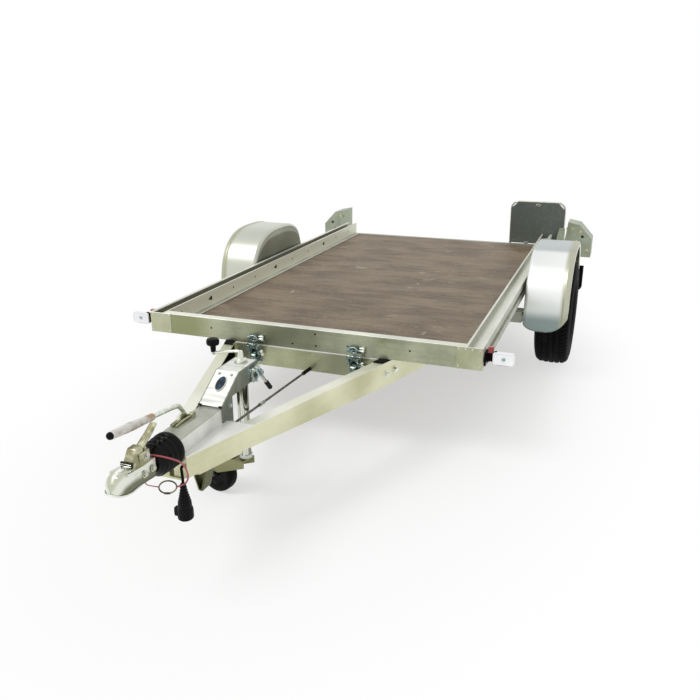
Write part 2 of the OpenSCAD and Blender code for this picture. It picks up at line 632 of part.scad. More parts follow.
module rim_right() color([0.75, 0.76, 0.78]) at_wheel(1) rim();

// Jockey leg, crank, swivelling fork and wheel
module jack_leg() color(zinc) {
  translate([0, jack_y, jack_low]) cylinder(h = jack_high - jack_low, r = jack_r);
  translate([0, jack_y, jack_high]) cylinder(h = 8, r = jack_r - 6);
}
crank_z = jack_high + 8;
crank_len = 122;
module jack_crank() color(zinc) {
  translate([0, jack_y, crank_z]) cylinder(h = 22, r = 9);
  block(-crank_len - 8, 8, jack_y - 8, jack_y + 8, crank_z + 6, crank_z + 14);
}
module crank_knob() color(black) translate([-crank_len, jack_y, crank_z + 14]) rotate_extrude()
  polygon([[0, 0], [10, 0], [12, 22], [22, 27], [26, 34], [26, 46], [22, 55], [0, 57]]);
fork_half = jockey_w / 2 + 6;
module jockey_fork() color(zinc) translate([0, jack_y, 0]) rotate([0, 0, -swivel]) {
  z = jack_low - 8;
  translate([0, 0, z]) cylinder(h = 7.7, r = 17);
  block(-34, 14, -fork_half - 5, fork_half + 5, z - 6, z);
  for (y = [-fork_half - 5, fork_half]) along_y(y, y + 5)
    polygon([[14, z - 2], [14, z - 40], [-trail + 30, jockey_r - 24], [-trail - 14, jockey_r - 20],
      [-trail - 22, jockey_r + 12], [-34, z - 2]]);
  y_rod(-fork_half - 5, fork_half + 5, -trail, jockey_r, 8);
}
module jockey_wheel() color(black) translate([0, jack_y, 0]) rotate([0, 0, -swivel])
  translate([-trail, 0, jockey_r]) rotate([90, 0, 0])
    rotate_extrude($fn = 72) polygon([[8.06, -28], [20, -28], [20, -18], [jockey_r - 28, -18],
      [jockey_r - 22, -jockey_w / 2], [jockey_r - 8, -jockey_w / 2], [jockey_r, -jockey_w / 2 + 9],
      [jockey_r, jockey_w / 2 - 9], [jockey_r - 8, jockey_w / 2], [jockey_r - 22, jockey_w / 2],
      [jockey_r - 28, 18], [20, 18], [20, 28], [8.06, 28]]);

// Loading flaps on a hinge behind the rear beam: right one raised, left one lowered
hinge_y = rear_y + 28;
hinge_z = deck_top - 20;
hinge_r = 10;
frame_r = 8;
module flap_frame() {
  w = flap_w;
  l = flap_len;
  c = 60;
  x_rod(-w / 2 + frame_r, w / 2 - frame_r, 0, 0, hinge_r);
  pair() {
    bar([w / 2 - frame_r, 0, 0], [w / 2 - frame_r, 0, l - c], frame_r);
    bar([w / 2 - frame_r - c + frame_r, 0, l - frame_r], [0, 0, l - frame_r], frame_r);
    translate([w / 2 - c, 0, l - c]) rotate([90, 0, 0]) rotate_extrude(angle = 90) translate([c - frame_r, 0])
      circle(r = frame_r, $fn = 24);
  }
}
module flap_plate() {
  w = flap_w / 2 - 5;
  l = flap_len - 5;
  along_y(-frame_r - 4, -frame_r) polygon([[-w, 24], [w, 24], [w, l - 56], [w - 56, l], [56 - w, l], [-w, l - 56]]);
}
module at_flap(s, a) translate([s * flap_mid, hinge_y, hinge_z]) rotate([a, 0, 0]) children();
module flap_plate_left() color([0.36, 0.38, 0.36]) at_flap(-1, -90 - flap_down) flap_plate();
module flap_plate_right() color([0.36, 0.38, 0.36]) at_flap(1, flap_lean) flap_plate();
module flap_frame_left() color(steel) at_flap(-1, -90 - flap_down) flap_frame();
module flap_frame_right() color(steel) at_flap(1, flap_lean) flap_frame();

drawbar_arms();
drawbar_cross_beam();
drawbar_top_plate();
drawbar_base_plate();
skid_bracket();
overrun_housing();
drawbar_bellows();
coupling_head();
coupling_lever();
handbrake_lever();
handbrake_grip();
jack_tower();
tower_disc();
jack_clamp();
jack_clamp_grip();
brake_rod();
brake_rod_boot();
axle_beam();
swing_arms();
mudguards();
guard_brackets();
mudflaps();
latch_bases();
rest_pads();
plug_cable();
plug();
breakaway_cable();
carabiner();
front_beam();
corner_plates();
side_rails();
rear_beam();
deck_floor();
cross_members();
pivot_lugs();
latch_hooks();
lamp_boxes();
tail_lamps();
marker_arms();
marker_lenses();
marker_reflectors();
tyre_left();
rim_left();
tyre_right();
rim_right();
jack_leg();
jack_crank();
crank_knob();
jockey_fork();
jockey_wheel();
flap_plate_left();
flap_frame_left();
flap_plate_right();
flap_frame_right();
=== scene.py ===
# %% [markdown]
# # A tilt bed trailer, dressed for a picture
# The trailer's solids come from a CAD model that is packed as a fixed frame. This lesson gives them
# finishes, and adds what a CAD solid leaves out: tread, bolts, rolled edges, springs and cables.
# All lengths are metres. +X is the right side seen from the drawbar, +Y is rearward, +Z is up.

# %% Load the frame
import math
import bmesh
import bpy
import numpy as np
from mathutils import Matrix


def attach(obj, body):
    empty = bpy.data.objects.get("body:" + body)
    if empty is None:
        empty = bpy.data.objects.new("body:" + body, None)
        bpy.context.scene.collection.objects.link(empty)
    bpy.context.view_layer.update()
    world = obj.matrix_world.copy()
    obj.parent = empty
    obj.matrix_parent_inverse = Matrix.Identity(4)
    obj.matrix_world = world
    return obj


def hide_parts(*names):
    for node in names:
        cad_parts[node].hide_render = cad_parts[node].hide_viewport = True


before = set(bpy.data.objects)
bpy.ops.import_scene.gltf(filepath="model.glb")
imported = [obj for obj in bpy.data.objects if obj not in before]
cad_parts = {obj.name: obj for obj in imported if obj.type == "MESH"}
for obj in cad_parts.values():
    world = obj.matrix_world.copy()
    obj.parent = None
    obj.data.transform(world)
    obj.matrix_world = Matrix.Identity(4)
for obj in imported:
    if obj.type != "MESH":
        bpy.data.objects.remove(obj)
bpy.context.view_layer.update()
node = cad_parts

# %% [markdown]
# Every place on the trailer is counted from a few stations along its length, the same ones that the
# CAD source uses: the bed's front face, its rear face, the tip of the drawbar, the wheels, the jack.

# %% Stations along the trailer
FRONT = -0.908
REAR = FRONT + 2.878
APEX = FRONT - 1.087
JACK = FRONT - 0.616
NOSE = APEX - 0.05
HEAD = FRONT - 1.409
LOCK = HEAD - 0.01
NECK = APEX - 0.167
WHEEL = FRONT + 1.598
HINGE = REAR + 0.028
WHEEL_X, WHEEL_Z = 1.03, 0.325  # the middle of the right wheel, across and up
ARM_X, ARM_SLOPE = 0.078, math.radians(17.7)  # the right arm's outer face at the apex, and its slope
FORWARD, BACKWARD, RIGHT, LEFT = (0, -1, 0), (0, 1, 0), (1, 0, 0), (-1, 0, 0)
SIDES = ((-1, "left"), (1, "right"))
print("stations", FRONT, round(APEX, 3), round(HEAD, 3), round(REAR, 3))

# %% [markdown]
# The camera was found from the picture: its eye is about head high, to the right of the coupling.
# The three rows below are the directions to the right, down and forward in the picture.

# %% Camera
FOCAL, PICTURE, SENSOR = 738.767, 700, 36  # focal length and picture width in pixels, sensor in mm
eye = (1.3549, -3.9471, 1.6293)
look = np.array([[0.938277, 0.345879, -0.001851],
                 [0.112563, -0.310403, -0.943917],
                 [-0.327056, 0.885448, -0.330177]])
lens = bpy.data.cameras.new("camera")
lens.sensor_width, lens.lens = SENSOR, FOCAL / PICTURE * SENSOR
lens.clip_end = 200
camera = bpy.data.objects.new("camera", lens)
turn = np.eye(4)
turn[:3, 0], turn[:3, 1], turn[:3, 2], turn[:3, 3] = look[0], -look[1], -look[2], eye
camera.matrix_world = Matrix(turn.tolist())
bpy.context.scene.collection.objects.link(camera)
bpy.context.scene.camera = camera
print("lens", round(lens.lens, 2), "mm")

# %% [markdown]
# New pieces are surfaces on a grid. A grid of points P[u, v] becomes four-sided faces, and a few
# makers build such grids: a lathe turns a profile round an axis, a sweep carries a section along a
# path. Each returns plain arrays, so several can be joined into one piece before Blender sees them.

# %% Grids, lathes and sweeps
def quads(nu, nv, close_u=False, close_v=False, flip=False):
    """Faces of a grid: each cell joins (u, v), (u+1, v), (u+1, v+1), (u, v+1), wrapping where closed."""
    a, b = np.meshgrid(np.arange(nu if close_u else nu - 1), np.arange(nv if close_v else nv - 1), indexing="ij")
    a1, b1 = (a + 1) % nu, (b + 1) % nv
    q = np.stack([a * nv + b, a1 * nv + b, a1 * nv + b1, a * nv + b1], -1).reshape(-1, 4)
    return q[:, ::-1] if flip else q


def grid(points, **how):
    """A grid of points [u, v, xyz] with its faces."""
    return points.reshape(-1, 3), quads(points.shape[0], points.shape[1], **how)


def unit(v):
    """Vectors divided by their length."""
    v = np.asarray(v, float)
    return v / np.linalg.norm(v, axis=-1, keepdims=True)


def basis(axis):
    """Two directions at right angles to an axis, so that first, second, axis is right-handed."""
    axis = unit(axis)
    ref = np.array([0, 0, 1.0]) if abs(axis[2]) < 0.9 else np.array([1.0, 0, 0])
    first = unit(np.cross(ref, axis))
    return first, np.cross(axis, first), axis


def lathe(profile, at=(0, 0, 0), axis=(0, 0, 1), n=48, corner=None):
    """Point = at + h axis + r (cos a, sin a) across it, for every [r, h] and angle a; corner scales r by angle."""
    e1, e2, e3 = basis(axis)
    a = np.arange(n) * 2 * np.pi / n
    r, h = np.asarray(profile, float).T
    rr = r[None, :] * (1 if corner is None else corner(a)[:, None])
    ring = np.cos(a)[:, None] * e1 + np.sin(a)[:, None] * e2
    return grid(np.asarray(at) + h[None, :, None] * e3 + rr[..., None] * ring[:, None, :], close_u=True)


def sweep(path, section, ref=(0, 0, 1), closed=False, scale=None):
    """Point = path + s0 n1 + s1 n2, where n1 is ref made square to the path and n2 completes the frame."""
    path, section = np.asarray(path, float), np.asarray(section, float)
    t = unit(np.roll(path, -1, 0) - np.roll(path, 1, 0) if closed else np.gradient(path, axis=0))
    n1 = unit(np.asarray(ref, float) - (t @ np.asarray(ref, float))[:, None] * t)
    n2 = np.cross(t, n1)
    k = np.ones(len(path)) if scale is None else np.asarray(scale, float)
    if not closed:
        path, n1, n2 = (np.concatenate([x[:1], x, x[-1:]]) for x in (path, n1, n2))
        k = np.concatenate([[0], k, [0]])
    s = section[None] * k[:, None, None]
    p = path[:, None] + s[..., :1] * n1[:, None] + s[..., 1:] * n2[:, None]
    return grid(p, close_u=closed, close_v=True, flip=True)


def drum(r, low, high, at=(0, 0, 0), axis=(0, 0, 1), n=48, corner=None, bore=0):
    """A plain cylinder between two heights along its axis, or a tube if it has a bore."""
    return lathe([(bore, low), (r, low), (r, high), (bore, high)], at, axis, n, corner)


def rounded(half_w, half_h, power=0.4, n=96):
    """A rounded oblong: cosine and sine are raised to a power below 1, which squares the circle."""
    q = np.arange(n) * 2 * np.pi / n
    c, s = np.cos(q), np.sin(q)
    return np.stack([half_w * np.sign(c) * np.abs(c) ** power, half_h * np.sign(s) * np.abs(s) ** power], -1)


def circle(r, n=12):
    """A round section of radius r."""
    return rounded(r, r, 1, n)


def loop(at, first, second, n=48):
    """A closed oval path: at + cos(q) first + sin(q) second."""
    q = (np.arange(n) * 2 * np.pi / n)[:, None]
    return np.asarray(at) + np.cos(q) * np.asarray(first) + np.sin(q) * np.asarray(second)


def slab(lo, hi):
    """The six faces of a box between two corners."""
    c = np.array(np.meshgrid(*np.stack([lo, hi], -1), indexing="ij")).reshape(3, -1).T
    return c, np.array([[0, 1, 3, 2], [4, 6, 7, 5], [0, 4, 5, 1], [2, 3, 7, 6], [0, 2, 6, 4], [1, 5, 7, 3]])


def taper(z0, z1, low, top):
    """A block between two heights whose [x0, x1, y0, y1] changes from low to top."""
    c = np.array([[r[i], r[2 + j], z] for i in (0, 1) for j in (0, 1) for r, z in ((low, z0), (top, z1))])
    return c, slab((0, 0, 0), (1, 1, 1))[1]


def mirror_x(part):
    """The same shape on the other side, with its faces turned round so that they still look outwards."""
    return part[0] * [-1, 1, 1], part[1][:, ::-1]


def both(*parts):
    """Shapes and their mirror images."""
    return [q for p in parts for q in (p, mirror_x(p))]


def spline(points, k=8):
    """A Catmull-Rom curve through the points, k steps to a span."""
    p = np.asarray(points, float)
    e = np.concatenate([p[:1], p, p[-1:]])
    t = (np.arange(k) / k)[None, :, None]
    a, b, c, d = (e[i:len(p) - 1 + i][:, None] for i in range(4))
    s = 0.5 * (2 * b + (c - a) * t + (2 * a - 5 * b + 4 * c - d) * t**2 + (3 * b - a - 3 * c + d) * t**3)
    return np.concatenate([s.reshape(-1, 3), p[-1:]])


# %% [markdown]
# A piece is one mesh at the origin. Its parts are joined, points that fall together at seams and
# poles are merged, and a small bevel can break the sharp edges, because real edges catch the light.

# %% Making a piece
def bevelled(obj, width):
    """Adds a Bevel of two steps that breaks every edge sharper than 35 degrees."""
    edge = obj.modifiers.new("edge", "BEVEL")
    edge.width, edge.segments, edge.limit_method, edge.angle_limit = width, 2, "ANGLE", math.radians(35)
    return edge


def piece(name, parts, body, finish, bevel=0, smooth=40, thick=0):
    """Joins parts into a mesh that rides on a body; smooth is the angle below which edges shade round."""
    parts = parts if isinstance(parts, list) else [parts]
    start = np.cumsum([0] + [len(p[0]) for p in parts[:-1]])
    points = np.concatenate([p[0] for p in parts])
    faces = np.concatenate([p[1] + s for p, s in zip(parts, start)])
    mesh = bpy.data.meshes.new(name)
    mesh.vertices.add(len(points))
    mesh.vertices.foreach_set("co", points.astype(np.float32).ravel())
    mesh.loops.add(faces.size)
    mesh.loops.foreach_set("vertex_index", faces.astype(np.int32).ravel())
    mesh.polygons.add(len(faces))
    mesh.polygons.foreach_set("loop_start", np.arange(0, faces.size, 4, dtype=np.int32))
    mesh.update(calc_edges=True)
    work = bmesh.new()
    work.from_mesh(mesh)
    bmesh.ops.remove_doubles(work, verts=work.verts, dist=2e-6)
    work.to_mesh(mesh)
    work.free()
    mesh.shade_smooth()
    mesh.set_sharp_from_angle(angle=math.radians(smooth))
    mesh.materials.append(finish)
    obj = bpy.data.objects.new(name, mesh)
    bpy.context.scene.collection.objects.link(obj)
    if thick:
        wall = obj.modifiers.new("wall", "SOLIDIFY")
        wall.thickness, wall.offset = thick, -1
    if bevel:
        bevelled(obj, bevel)
    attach(obj, body)
    print(f"{name}: {len(mesh.polygons)} faces on {body}")
    return obj


# %% [markdown]
# Finishes are node materials. One small class wraps a socket, so that shader maths reads as plain
# Python, and one method adds any other node with its settings and the values of its sockets.

# %% Shader maths as expressions
class Wire:
    """A socket of a node tree. Arithmetic on it adds Math nodes."""

    def __init__(self, tree, socket=None):
        self.tree, self.socket = tree, socket

    def add(self, kind, inputs=None, out=0, **settings):
        """Adds a node: settings first, then a value or a link for each named socket; gives one output."""
        made = self.tree.nodes.new(kind)
        for key, value in settings.items():
            setattr(made, key, value)
        for key, value in (inputs or {}).items():
            if isinstance(value, Wire):
                self.tree.links.new(value.socket, made.inputs[key])
            else:
                made.inputs[key].default_value = value
        return Wire(self.tree, made.outputs[out])

    def math(self, operation, a, b):
        """One Math node."""
        return self.add("ShaderNodeMath", {0: a, 1: b}, operation=operation)

    def __add__(self, o): return self.math("ADD", self, o)
    def __radd__(self, o): return self.math("ADD", o, self)
    def __sub__(self, o): return self.math("SUBTRACT", self, o)
    def __rsub__(self, o): return self.math("SUBTRACT", o, self)
    def __mul__(self, o): return self.math("MULTIPLY", self, o)
    def __rmul__(self, o): return self.math("MULTIPLY", o, self)
    def __abs__(self): return self.math("ABSOLUTE", self, 0.0)

    def step(self, low, high):
        """0 below low, 1 above high, smooth between."""
        return self.add("ShaderNodeMapRange", {"Value": self, "From Min": low, "From Max": high},
                        interpolation_type="SMOOTHSTEP")

    def mix(self, a, b):
        """The colour a where this is 0 and b where it is 1; plain colours are given from 0 to 255."""
        a, b = (c if isinstance(c, Wire) else srgb(*c) for c in (a, b))
        return self.add("ShaderNodeMix", {0: self, 6: a, 7: b}, out=2, data_type="RGBA")

    def noise(self, scale, detail=3.0, stretch=(1, 1, 1)):
        """Cloudy values about 0.5 at this scale per metre, drawn out along an axis by stretch."""
        p = self.add("ShaderNodeMapping", {"Vector": self, "Scale": stretch})
        return self.add("ShaderNodeTexNoise", {"Vector": p, "Scale": scale, "Detail": detail})

    def cells(self, scale):
        """One random value for each crystal-like cell."""
        c = self.add("ShaderNodeTexVoronoi", {"Vector": self, "Scale": scale}, out="Color")
        return self.add("ShaderNodeSeparateColor", {"Color": c})

    def axis(self, name):
        """One coordinate of a vector."""
        return self.add("ShaderNodeSeparateXYZ", {"Vector": self}, out=name)


def srgb(*rgb):
    """A screen colour from 0 to 255 as the linear colour that a shader takes."""
    c = np.array(rgb) / 255
    return (*np.where(c <= 0.04045, c / 12.92, ((c + 0.055) / 1.055) ** 2.4).tolist(), 1.0)


def blank(name, **fixed):
    """A new material: its shader, and a wire that carries Object coordinates. Fixed values go on the shader."""
    mat = bpy.data.materials.new(name)
    mat.use_nodes = True
    shader = mat.node_tree.nodes["Principled BSDF"]
    for key, value in fixed.items():
        shader.inputs[key.replace("_", " ")].default_value = value
    return mat, shader, Wire(mat.node_tree).add("ShaderNodeTexCoord", out="Object")


def plug_in(shader, **wires):
    """Links wires to the shader's sockets; Height goes through a Bump node to Normal."""
    for key, value in wires.items():
        if key == "Height":
            value, depth = value
            value = value.add("ShaderNodeBump", {"Height": value, "Distance": depth, "Strength": 1.0})
            key = "Normal"
        value.tree.links.new(value.socket, shader.inputs[key.replace("_", " ")])


# %% [markdown]
# Hot-dip galvanising leaves crystals of zinc, called spangle, on cloudy grey steel. A Voronoi cell
# pattern gives the crystals, a wide noise the clouds, and a drawn-out noise the rolling streaks.
# Each part of the frame has its own pair of greys, lighter or darker by the light that part catches: painted light and
# shade.

# %% Galvanised steel
# Above these heights the tops of the bed and of the drawbar take a painted highlight.
BED_EDGE, FRAME_EDGE = 0.5735, 0.4635  # heights just below the top edges of the bed and of the drawbar


def between(value, low, high, soft=0.001):
    """1 where the value lies between low and high, 0 outside."""
    return value.step(low, low + soft) * (1.0 - value.step(high - soft, high))


def strip(x, z, side=1, soft=0.001, share=1.0):
    """A share of the places between two x, counted from the middle to one side, and two heights."""
    return lambda p: share * between(side * p.axis("X"), *x, soft) * between(p.axis("Z"), *z)


def painted_reflection(low, high, share):
    """A wide soft stretch of a beam with a painted dark reflection in its colour."""
    return strip((low, high), (0.3, 0.5725), soft=0.45 * (high - low), share=share)


def arm_hollow_shade(p):
    """A place inside an arm, in from its outer face, below its top flange and above its bottom flange, where painted
    shade darkens the colour.
    """
    x, y, z = (p.axis(name) for name in "XYZ")
    deep = ARM_X + math.tan(ARM_SLOPE) * (y - APEX) - abs(x)
    low = z + 0.0404 * (y - (APEX + 0.2))
    return (deep.step(0.003, 0.005) * between(y, APEX + 0.268, FRONT - 0.014)
            * (1.0 - z.step(0.459, 0.4605)) * low.step(0.3885, 0.39))


def skid_shade(p):
    """A place inside the folded skid or on its right leg, which lies in the shade of the arm."""
    return (p.axis("X") + 0.3056 * (p.axis("Z") - 0.242) + 0.0065).step(0.0, 0.0012)


def galvanised(name, dark, light, rough=0.34, spangle=90, metal=0.8, streak=(1, 1, 1), bands=(1, 1, 1),
               edge=None, painted_shading=()):
    """Mixes two greys by bands, clouds, crystals and streaks. Edge gives a lighter colour above a height, a painted
    highlight on the top edges, and a list of masks adds painted shade, painted light and painted reflections, each with
    the colour of the places in it."""
    mat, shader, p = blank(name, Metallic=metal)
    crystal, cloud = p.cells(spangle), p.noise(7, 4.0)
    brushed, band = p.noise(26, 2.0, streak), p.noise(1.7, 1.5, bands).step(0.34, 0.66)
    tone = 0.56 * band + 0.26 * cloud.step(0.3, 0.7) + 0.1 * crystal + 0.08 * brushed.step(0.3, 0.7)
    colour = tone.mix(dark, light)
    # Painted highlight: above the edge height the colour turns lighter.
    if edge:
        lit_edge = (0.7 + 0.3 * band).mix(dark, edge[1])
        colour = p.axis("Z").step(edge[0] - 0.002, edge[0] + 0.0004).mix(colour, lit_edge)
    # Painted shade, painted light and painted reflections, each over its mask.
    for mask, tint in painted_shading:
        colour = mask(p).mix(colour, tint)
    plug_in(shader, Base_Color=colour, Roughness=rough + 0.1 * crystal + 0.12 * cloud,
            Height=(0.4 * brushed + 0.2 * crystal, 0.00005))
    return mat


# Masks on the rails: painted shade in the channel on top of the left one, painted light in the channel on top of the
# right one, and painted light on the left one's inner face, which looks towards the bright side.
left_channel_shade, right_channel_light = (strip((0.7722, 0.8478), (0.54, 0.5715), side) for side in (-1, 1))
inner_wall_light = strip((0.7685, 0.7715), (0.494, 0.5725), -1)
# Painted dark reflections lie across the front beam and the cross beam.
beam_steel = galvanised("beam_steel", (104, 110, 88), (196, 199, 172), 0.22, streak=(0.15, 1, 4),
                        bands=(1.9, 0.2, 0.9), edge=(BED_EDGE, (232, 233, 220)),
                        painted_shading=((painted_reflection(-0.42, 0.16, 0.75), (128, 132, 108)),
                                (painted_reflection(-0.92, -0.4, 0.85), (138, 142, 100))))
cross_steel = galvanised("cross_steel", (146, 149, 116), (206, 208, 174), 0.22, streak=(0.15, 1, 4),
                         bands=(2.6, 0.2, 1.2), edge=(FRAME_EDGE, (226, 227, 210)),
                         painted_shading=((painted_reflection(0.02, 0.36, 0.6), (104, 106, 88)),))
# Painted shade darkens the inside of each arm's hollow.
arm_steel = galvanised("arm_steel", (190, 190, 152), (232, 232, 202), 0.32, streak=(1, 0.2, 3),
                       bands=(0.6, 2.2, 2.0), edge=(FRAME_EDGE, (236, 237, 224)),
                       painted_shading=((arm_hollow_shade, (60, 58, 47)),))
plate_steel = galvanised("plate_steel", (216, 219, 210), (246, 247, 242), 0.38, metal=0.3)
corner_steel = galvanised("corner_steel", (140, 143, 108), (206, 207, 180), 0.26, bands=(1.1, 0.3, 1.0),
                          edge=(BED_EDGE, (232, 233, 220)))
rail_steel = galvanised("rail_steel", (166, 169, 152), (212, 214, 202), 0.34, metal=0.35, streak=(3, 0.1, 3),
                        bands=(0.4, 1.6, 3.0), edge=(BED_EDGE, (226, 228, 218)),
                        painted_shading=((left_channel_shade, (150, 147, 126)), (right_channel_light, (222, 224, 212)),
                                (inner_wall_light, (240, 241, 222))))
box_steel = galvanised("box_steel", (132, 138, 120), (182, 190, 170), 0.32)
skid_steel = galvanised("skid_steel", (166, 165, 138), (200, 199, 174), painted_shading=((skid_shade, (92, 92, 60)),))
fork_steel = galvanised("fork_steel", (116, 116, 82), (160, 160, 120))
under_steel = galvanised("under_steel", (150, 152, 138), (196, 198, 186), 0.4)
print("galvanised finishes", 10)

# %% [markdown]
# The rolled mudguards are bright sheet without crystals, only with wide soft bands, and painted shade darkens
# their crests, outer shoulders, low skirts and inner walls and the whole left guard. The jack's tube is drawn and
# chromed, so fine bands run along it. The tower is folded; its broad front is painted as lit and its sides in painted
# shade, and the housing is a duller grey above a height. On the coupling's pressed shell a painted highlight
# runs along the crown and painted reflections follow the drop from it.

# %% Sheet, tube, tower, housing and pressed steel
def sheet(name, dull, bright, rough, bands, metal=0.85, low=0.3, high=0.7, shoulder=None, skirt=None,
          crest=None, left=None):
    """Wide bands between a dull and a bright grey, with a little grain in the gloss. The other colours are painted
    shade: shoulder gives a darker colour beyond an |x|, skirt one below a height, crest one above a height, and left
    the bright grey of duller bands for x below 0."""
    mat, shader, p = blank(name, Metallic=metal)
    band, grain = p.noise(1.0, 2.0, bands), p.noise(160, 2.0)
    wide = band.step(low, high)
    colour = wide.mix(dull, bright)
    if crest:
        colour = p.axis("Z").step(crest[0] - 0.014, crest[0]).mix(colour, crest[1])
    if left:
        colour = p.axis("X").step(-0.1, 0.1).mix(wide.mix(0.9 * np.array(left), left), colour)
    if skirt:
        soft = 0.1 * skirt[0]
        colour = p.axis("Z").step(skirt[0] - soft, skirt[0] + soft).mix(skirt[1], colour)
    if shoulder:
        beyond = abs(p.axis("X")).step(shoulder[0] - 0.012, shoulder[0] + 0.012)
        colour = (beyond * (0.6 + 0.4 * band)).mix(colour, shoulder[1])
    plug_in(shader, Base_Color=colour, Roughness=rough + 0.1 * grain)
    return mat


def two_tone(name, axis, edge, main, other, bands, metal=0.8, rough=0.28):
    """One grey up to a place along an axis and another beyond it, on both sides, both in soft bands."""
    mat, shader, p = blank(name, Metallic=metal)
    place, band = p.axis(axis), p.noise(4.0, 3.0, bands).step(0.3, 0.7)
    beyond = (place * place).step((edge - 0.0006) ** 2, (edge + 0.0006) ** 2)
    tones = [band.mix(0.84 * np.array(c), c) for c in (main, other)]
    plug_in(shader, Base_Color=beyond.mix(*tones), Roughness=rough + 0.15 * band,
            Height=(p.noise(90, 2.0), 0.00006))
    return mat


def pressed_steel(name):
    """Painted highlight and painted reflections: tones follow the distance down from the crown, |x| plus part of the
    drop, so that a near-white highlight lies on the crown and soft light and dark reflection bands run along the shell."""
    mat, shader, p = blank(name, Metallic=0.85)
    down = abs(p.axis("X")) + 0.6 * (0.54 - p.axis("Z")) + 0.01 * p.noise(22, 2.0)
    colour = (252, 253, 250)
    for start, full, tone in ((0.01, 0.022, (192, 195, 174)), (0.03, 0.046, (226, 229, 217)),
                              (0.058, 0.074, (112, 114, 92))):
        colour = down.step(start, full).mix(colour, tone)
    plug_in(shader, Base_Color=colour, Roughness=0.16 + 0.12 * p.noise(120, 2.0))
    return mat


press_steel = pressed_steel("press_steel")
# Painted shade on the guards: a darker crest on top, a darker outer shoulder, a darker bluish skirt low down, and
# duller bands on the left guard.
guard_steel = sheet("guard_steel", (204, 209, 205), (251, 252, 250), 0.3, (0.5, 1.2, 4.2),
                    crest=(0.745, (186, 192, 192)), shoulder=(1.078, (172, 172, 146)),
                    skirt=(0.415, (136, 150, 147)), left=(204, 207, 194))
# A darker copy of the guard sheet, painted shade, for the guards' inner walls and the ears on the tower.
shade_sheet = sheet("shade_sheet", (130, 133, 115), (158, 161, 144), 0.34, (1, 2.2, 2.2))
tube_chrome = sheet("tube_chrome", (118, 121, 102), (236, 237, 226), 0.1, (55, 55, 0.6), 0.95, 0.36, 0.62)
# Painted light and shade on the tower: its front a bright grey, its sides beyond |x| 0.0455 a darker one.
tower_steel = two_tone("tower_steel", "X", 0.0455, (242, 243, 237), (138, 144, 130), (1, 12, 0.6))
housing_steel = two_tone("housing_steel", "Z", 0.5248, (246, 247, 240), (192, 194, 179), (1.4, 1.4, 1.4), 0.2)
print("sheet finishes", 6)

# %% [markdown]
# Small hardware is electroplated: a bluish zinc, here and there with the yellow tint of its
# passivation. The coupling and the wheel rims are smoother, so their clouds are wider and fainter.

# %% Plated and painted steel
def plated(name, base, tint, rough=0.28, metal=0.9, scale=38):
    """Two tints of plating in soft clouds, with fine grain in the gloss."""
    mat, shader, p = blank(name, Metallic=metal)
    cloud, grain = p.noise(scale, 3.0), p.noise(420, 2.0)
    plug_in(shader, Base_Color=cloud.step(0.4, 0.68).mix(base, tint),
            Roughness=rough + 0.18 * grain, Height=(grain, 0.00006))
    return mat


zinc = plated("zinc", (188, 195, 194), (204, 202, 178))
blue_zinc = plated("blue_zinc", (150, 172, 176), (196, 204, 200), 0.22)
gold_zinc = plated("gold_zinc", (196, 182, 120), (214, 204, 160), 0.3)
latch_zinc = plated("latch_zinc", (78, 98, 90), (178, 194, 186), 0.2, scale=110)
rod_steel = plated("rod_steel", (84, 83, 80), (126, 124, 117), 0.34)
hook_steel = plated("hook_steel", (88, 76, 58), (156, 146, 118), 0.3)
satin = plated("satin", (214, 219, 206), (240, 242, 233), 0.18)
lock_steel = plated("lock_steel", (146, 144, 112), (204, 203, 176), 0.24)
rim_silver = plated("rim_silver", (186, 188, 190), (208, 210, 212), 0.34, 0.7)
blue_cap = plated("blue_cap", (12, 28, 42), (34, 70, 92), 0.16, 0.3)
flap_paint = plated("flap_paint", (90, 96, 90), (97, 103, 97), 0.5, 0.1)
print("plated finishes", 11)

# %% [markdown]
# Rubber and moulded plastic are near black with a fine grain. Dust makes the tyre and the grips a
# little paler in places. The lenses are clear coloured plastic with a polished skin, the coat.

# %% Rubber, plastic and lenses
def moulded(name, dark, pale, rough=0.5, grain=900, depth=0.0001, spread=(0.45, 0.8), **fixed):
    """A dark base with pale dust in clouds and a fine moulded grain."""
    mat, shader, p = blank(name, **fixed)
    dust, fine = p.noise(14, 4.0), p.noise(grain, 1.0)
    plug_in(shader, Base_Color=dust.step(*spread).mix(dark, pale),
            Roughness=rough + 0.18 * dust, Height=(fine, depth))
    return mat


rubber = moulded("rubber", (9, 9, 8), (22, 22, 21), 0.4, Specular_IOR_Level=0.07)
gaiter = moulded("gaiter", (8, 7, 6), (20, 19, 17), 0.16, 500, 0.00008, Specular_IOR_Level=0.14)
tyre_rubber = moulded("tyre_rubber", (9, 9, 9), (24, 24, 23), 0.6, 700, 0.0002, Specular_IOR_Level=0.08)
black_plastic = moulded("black_plastic", (10, 10, 10), (23, 23, 22), 0.32, Specular_IOR_Level=0.1)
grip_grey = moulded("grip_grey", (226, 225, 220), (178, 148, 112), 0.42, 160, 0.0008, (0.44, 0.62))
red_lens = moulded("red_lens", (150, 14, 16), (176, 24, 24), 0.12, 240, 0.0003, Coat_Weight=0.6)
amber_lens = moulded("amber_lens", (214, 112, 14), (228, 134, 30), 0.12, 240, 0.0003, Coat_Weight=0.6)
white_lens = moulded("white_lens", (240, 241, 243), (252, 252, 252), 0.1, 240, 0.0002, Coat_Weight=0.5)
# Painted shade: this near black fills holes, slots and notches.
hole_shade = moulded("hole_shade", (16, 16, 15), (30, 29, 27), 0.8)
print("moulded finishes", 9)

# %% [markdown]
# The floor is plywood under a brown phenolic film. The film's upper face carries the print of a wire
# mesh, which gives grip; here two crossed waves 5 mm apart make that print as bump, and a noise drawn
# out across the bed gives the faint streaks of the veneer below.

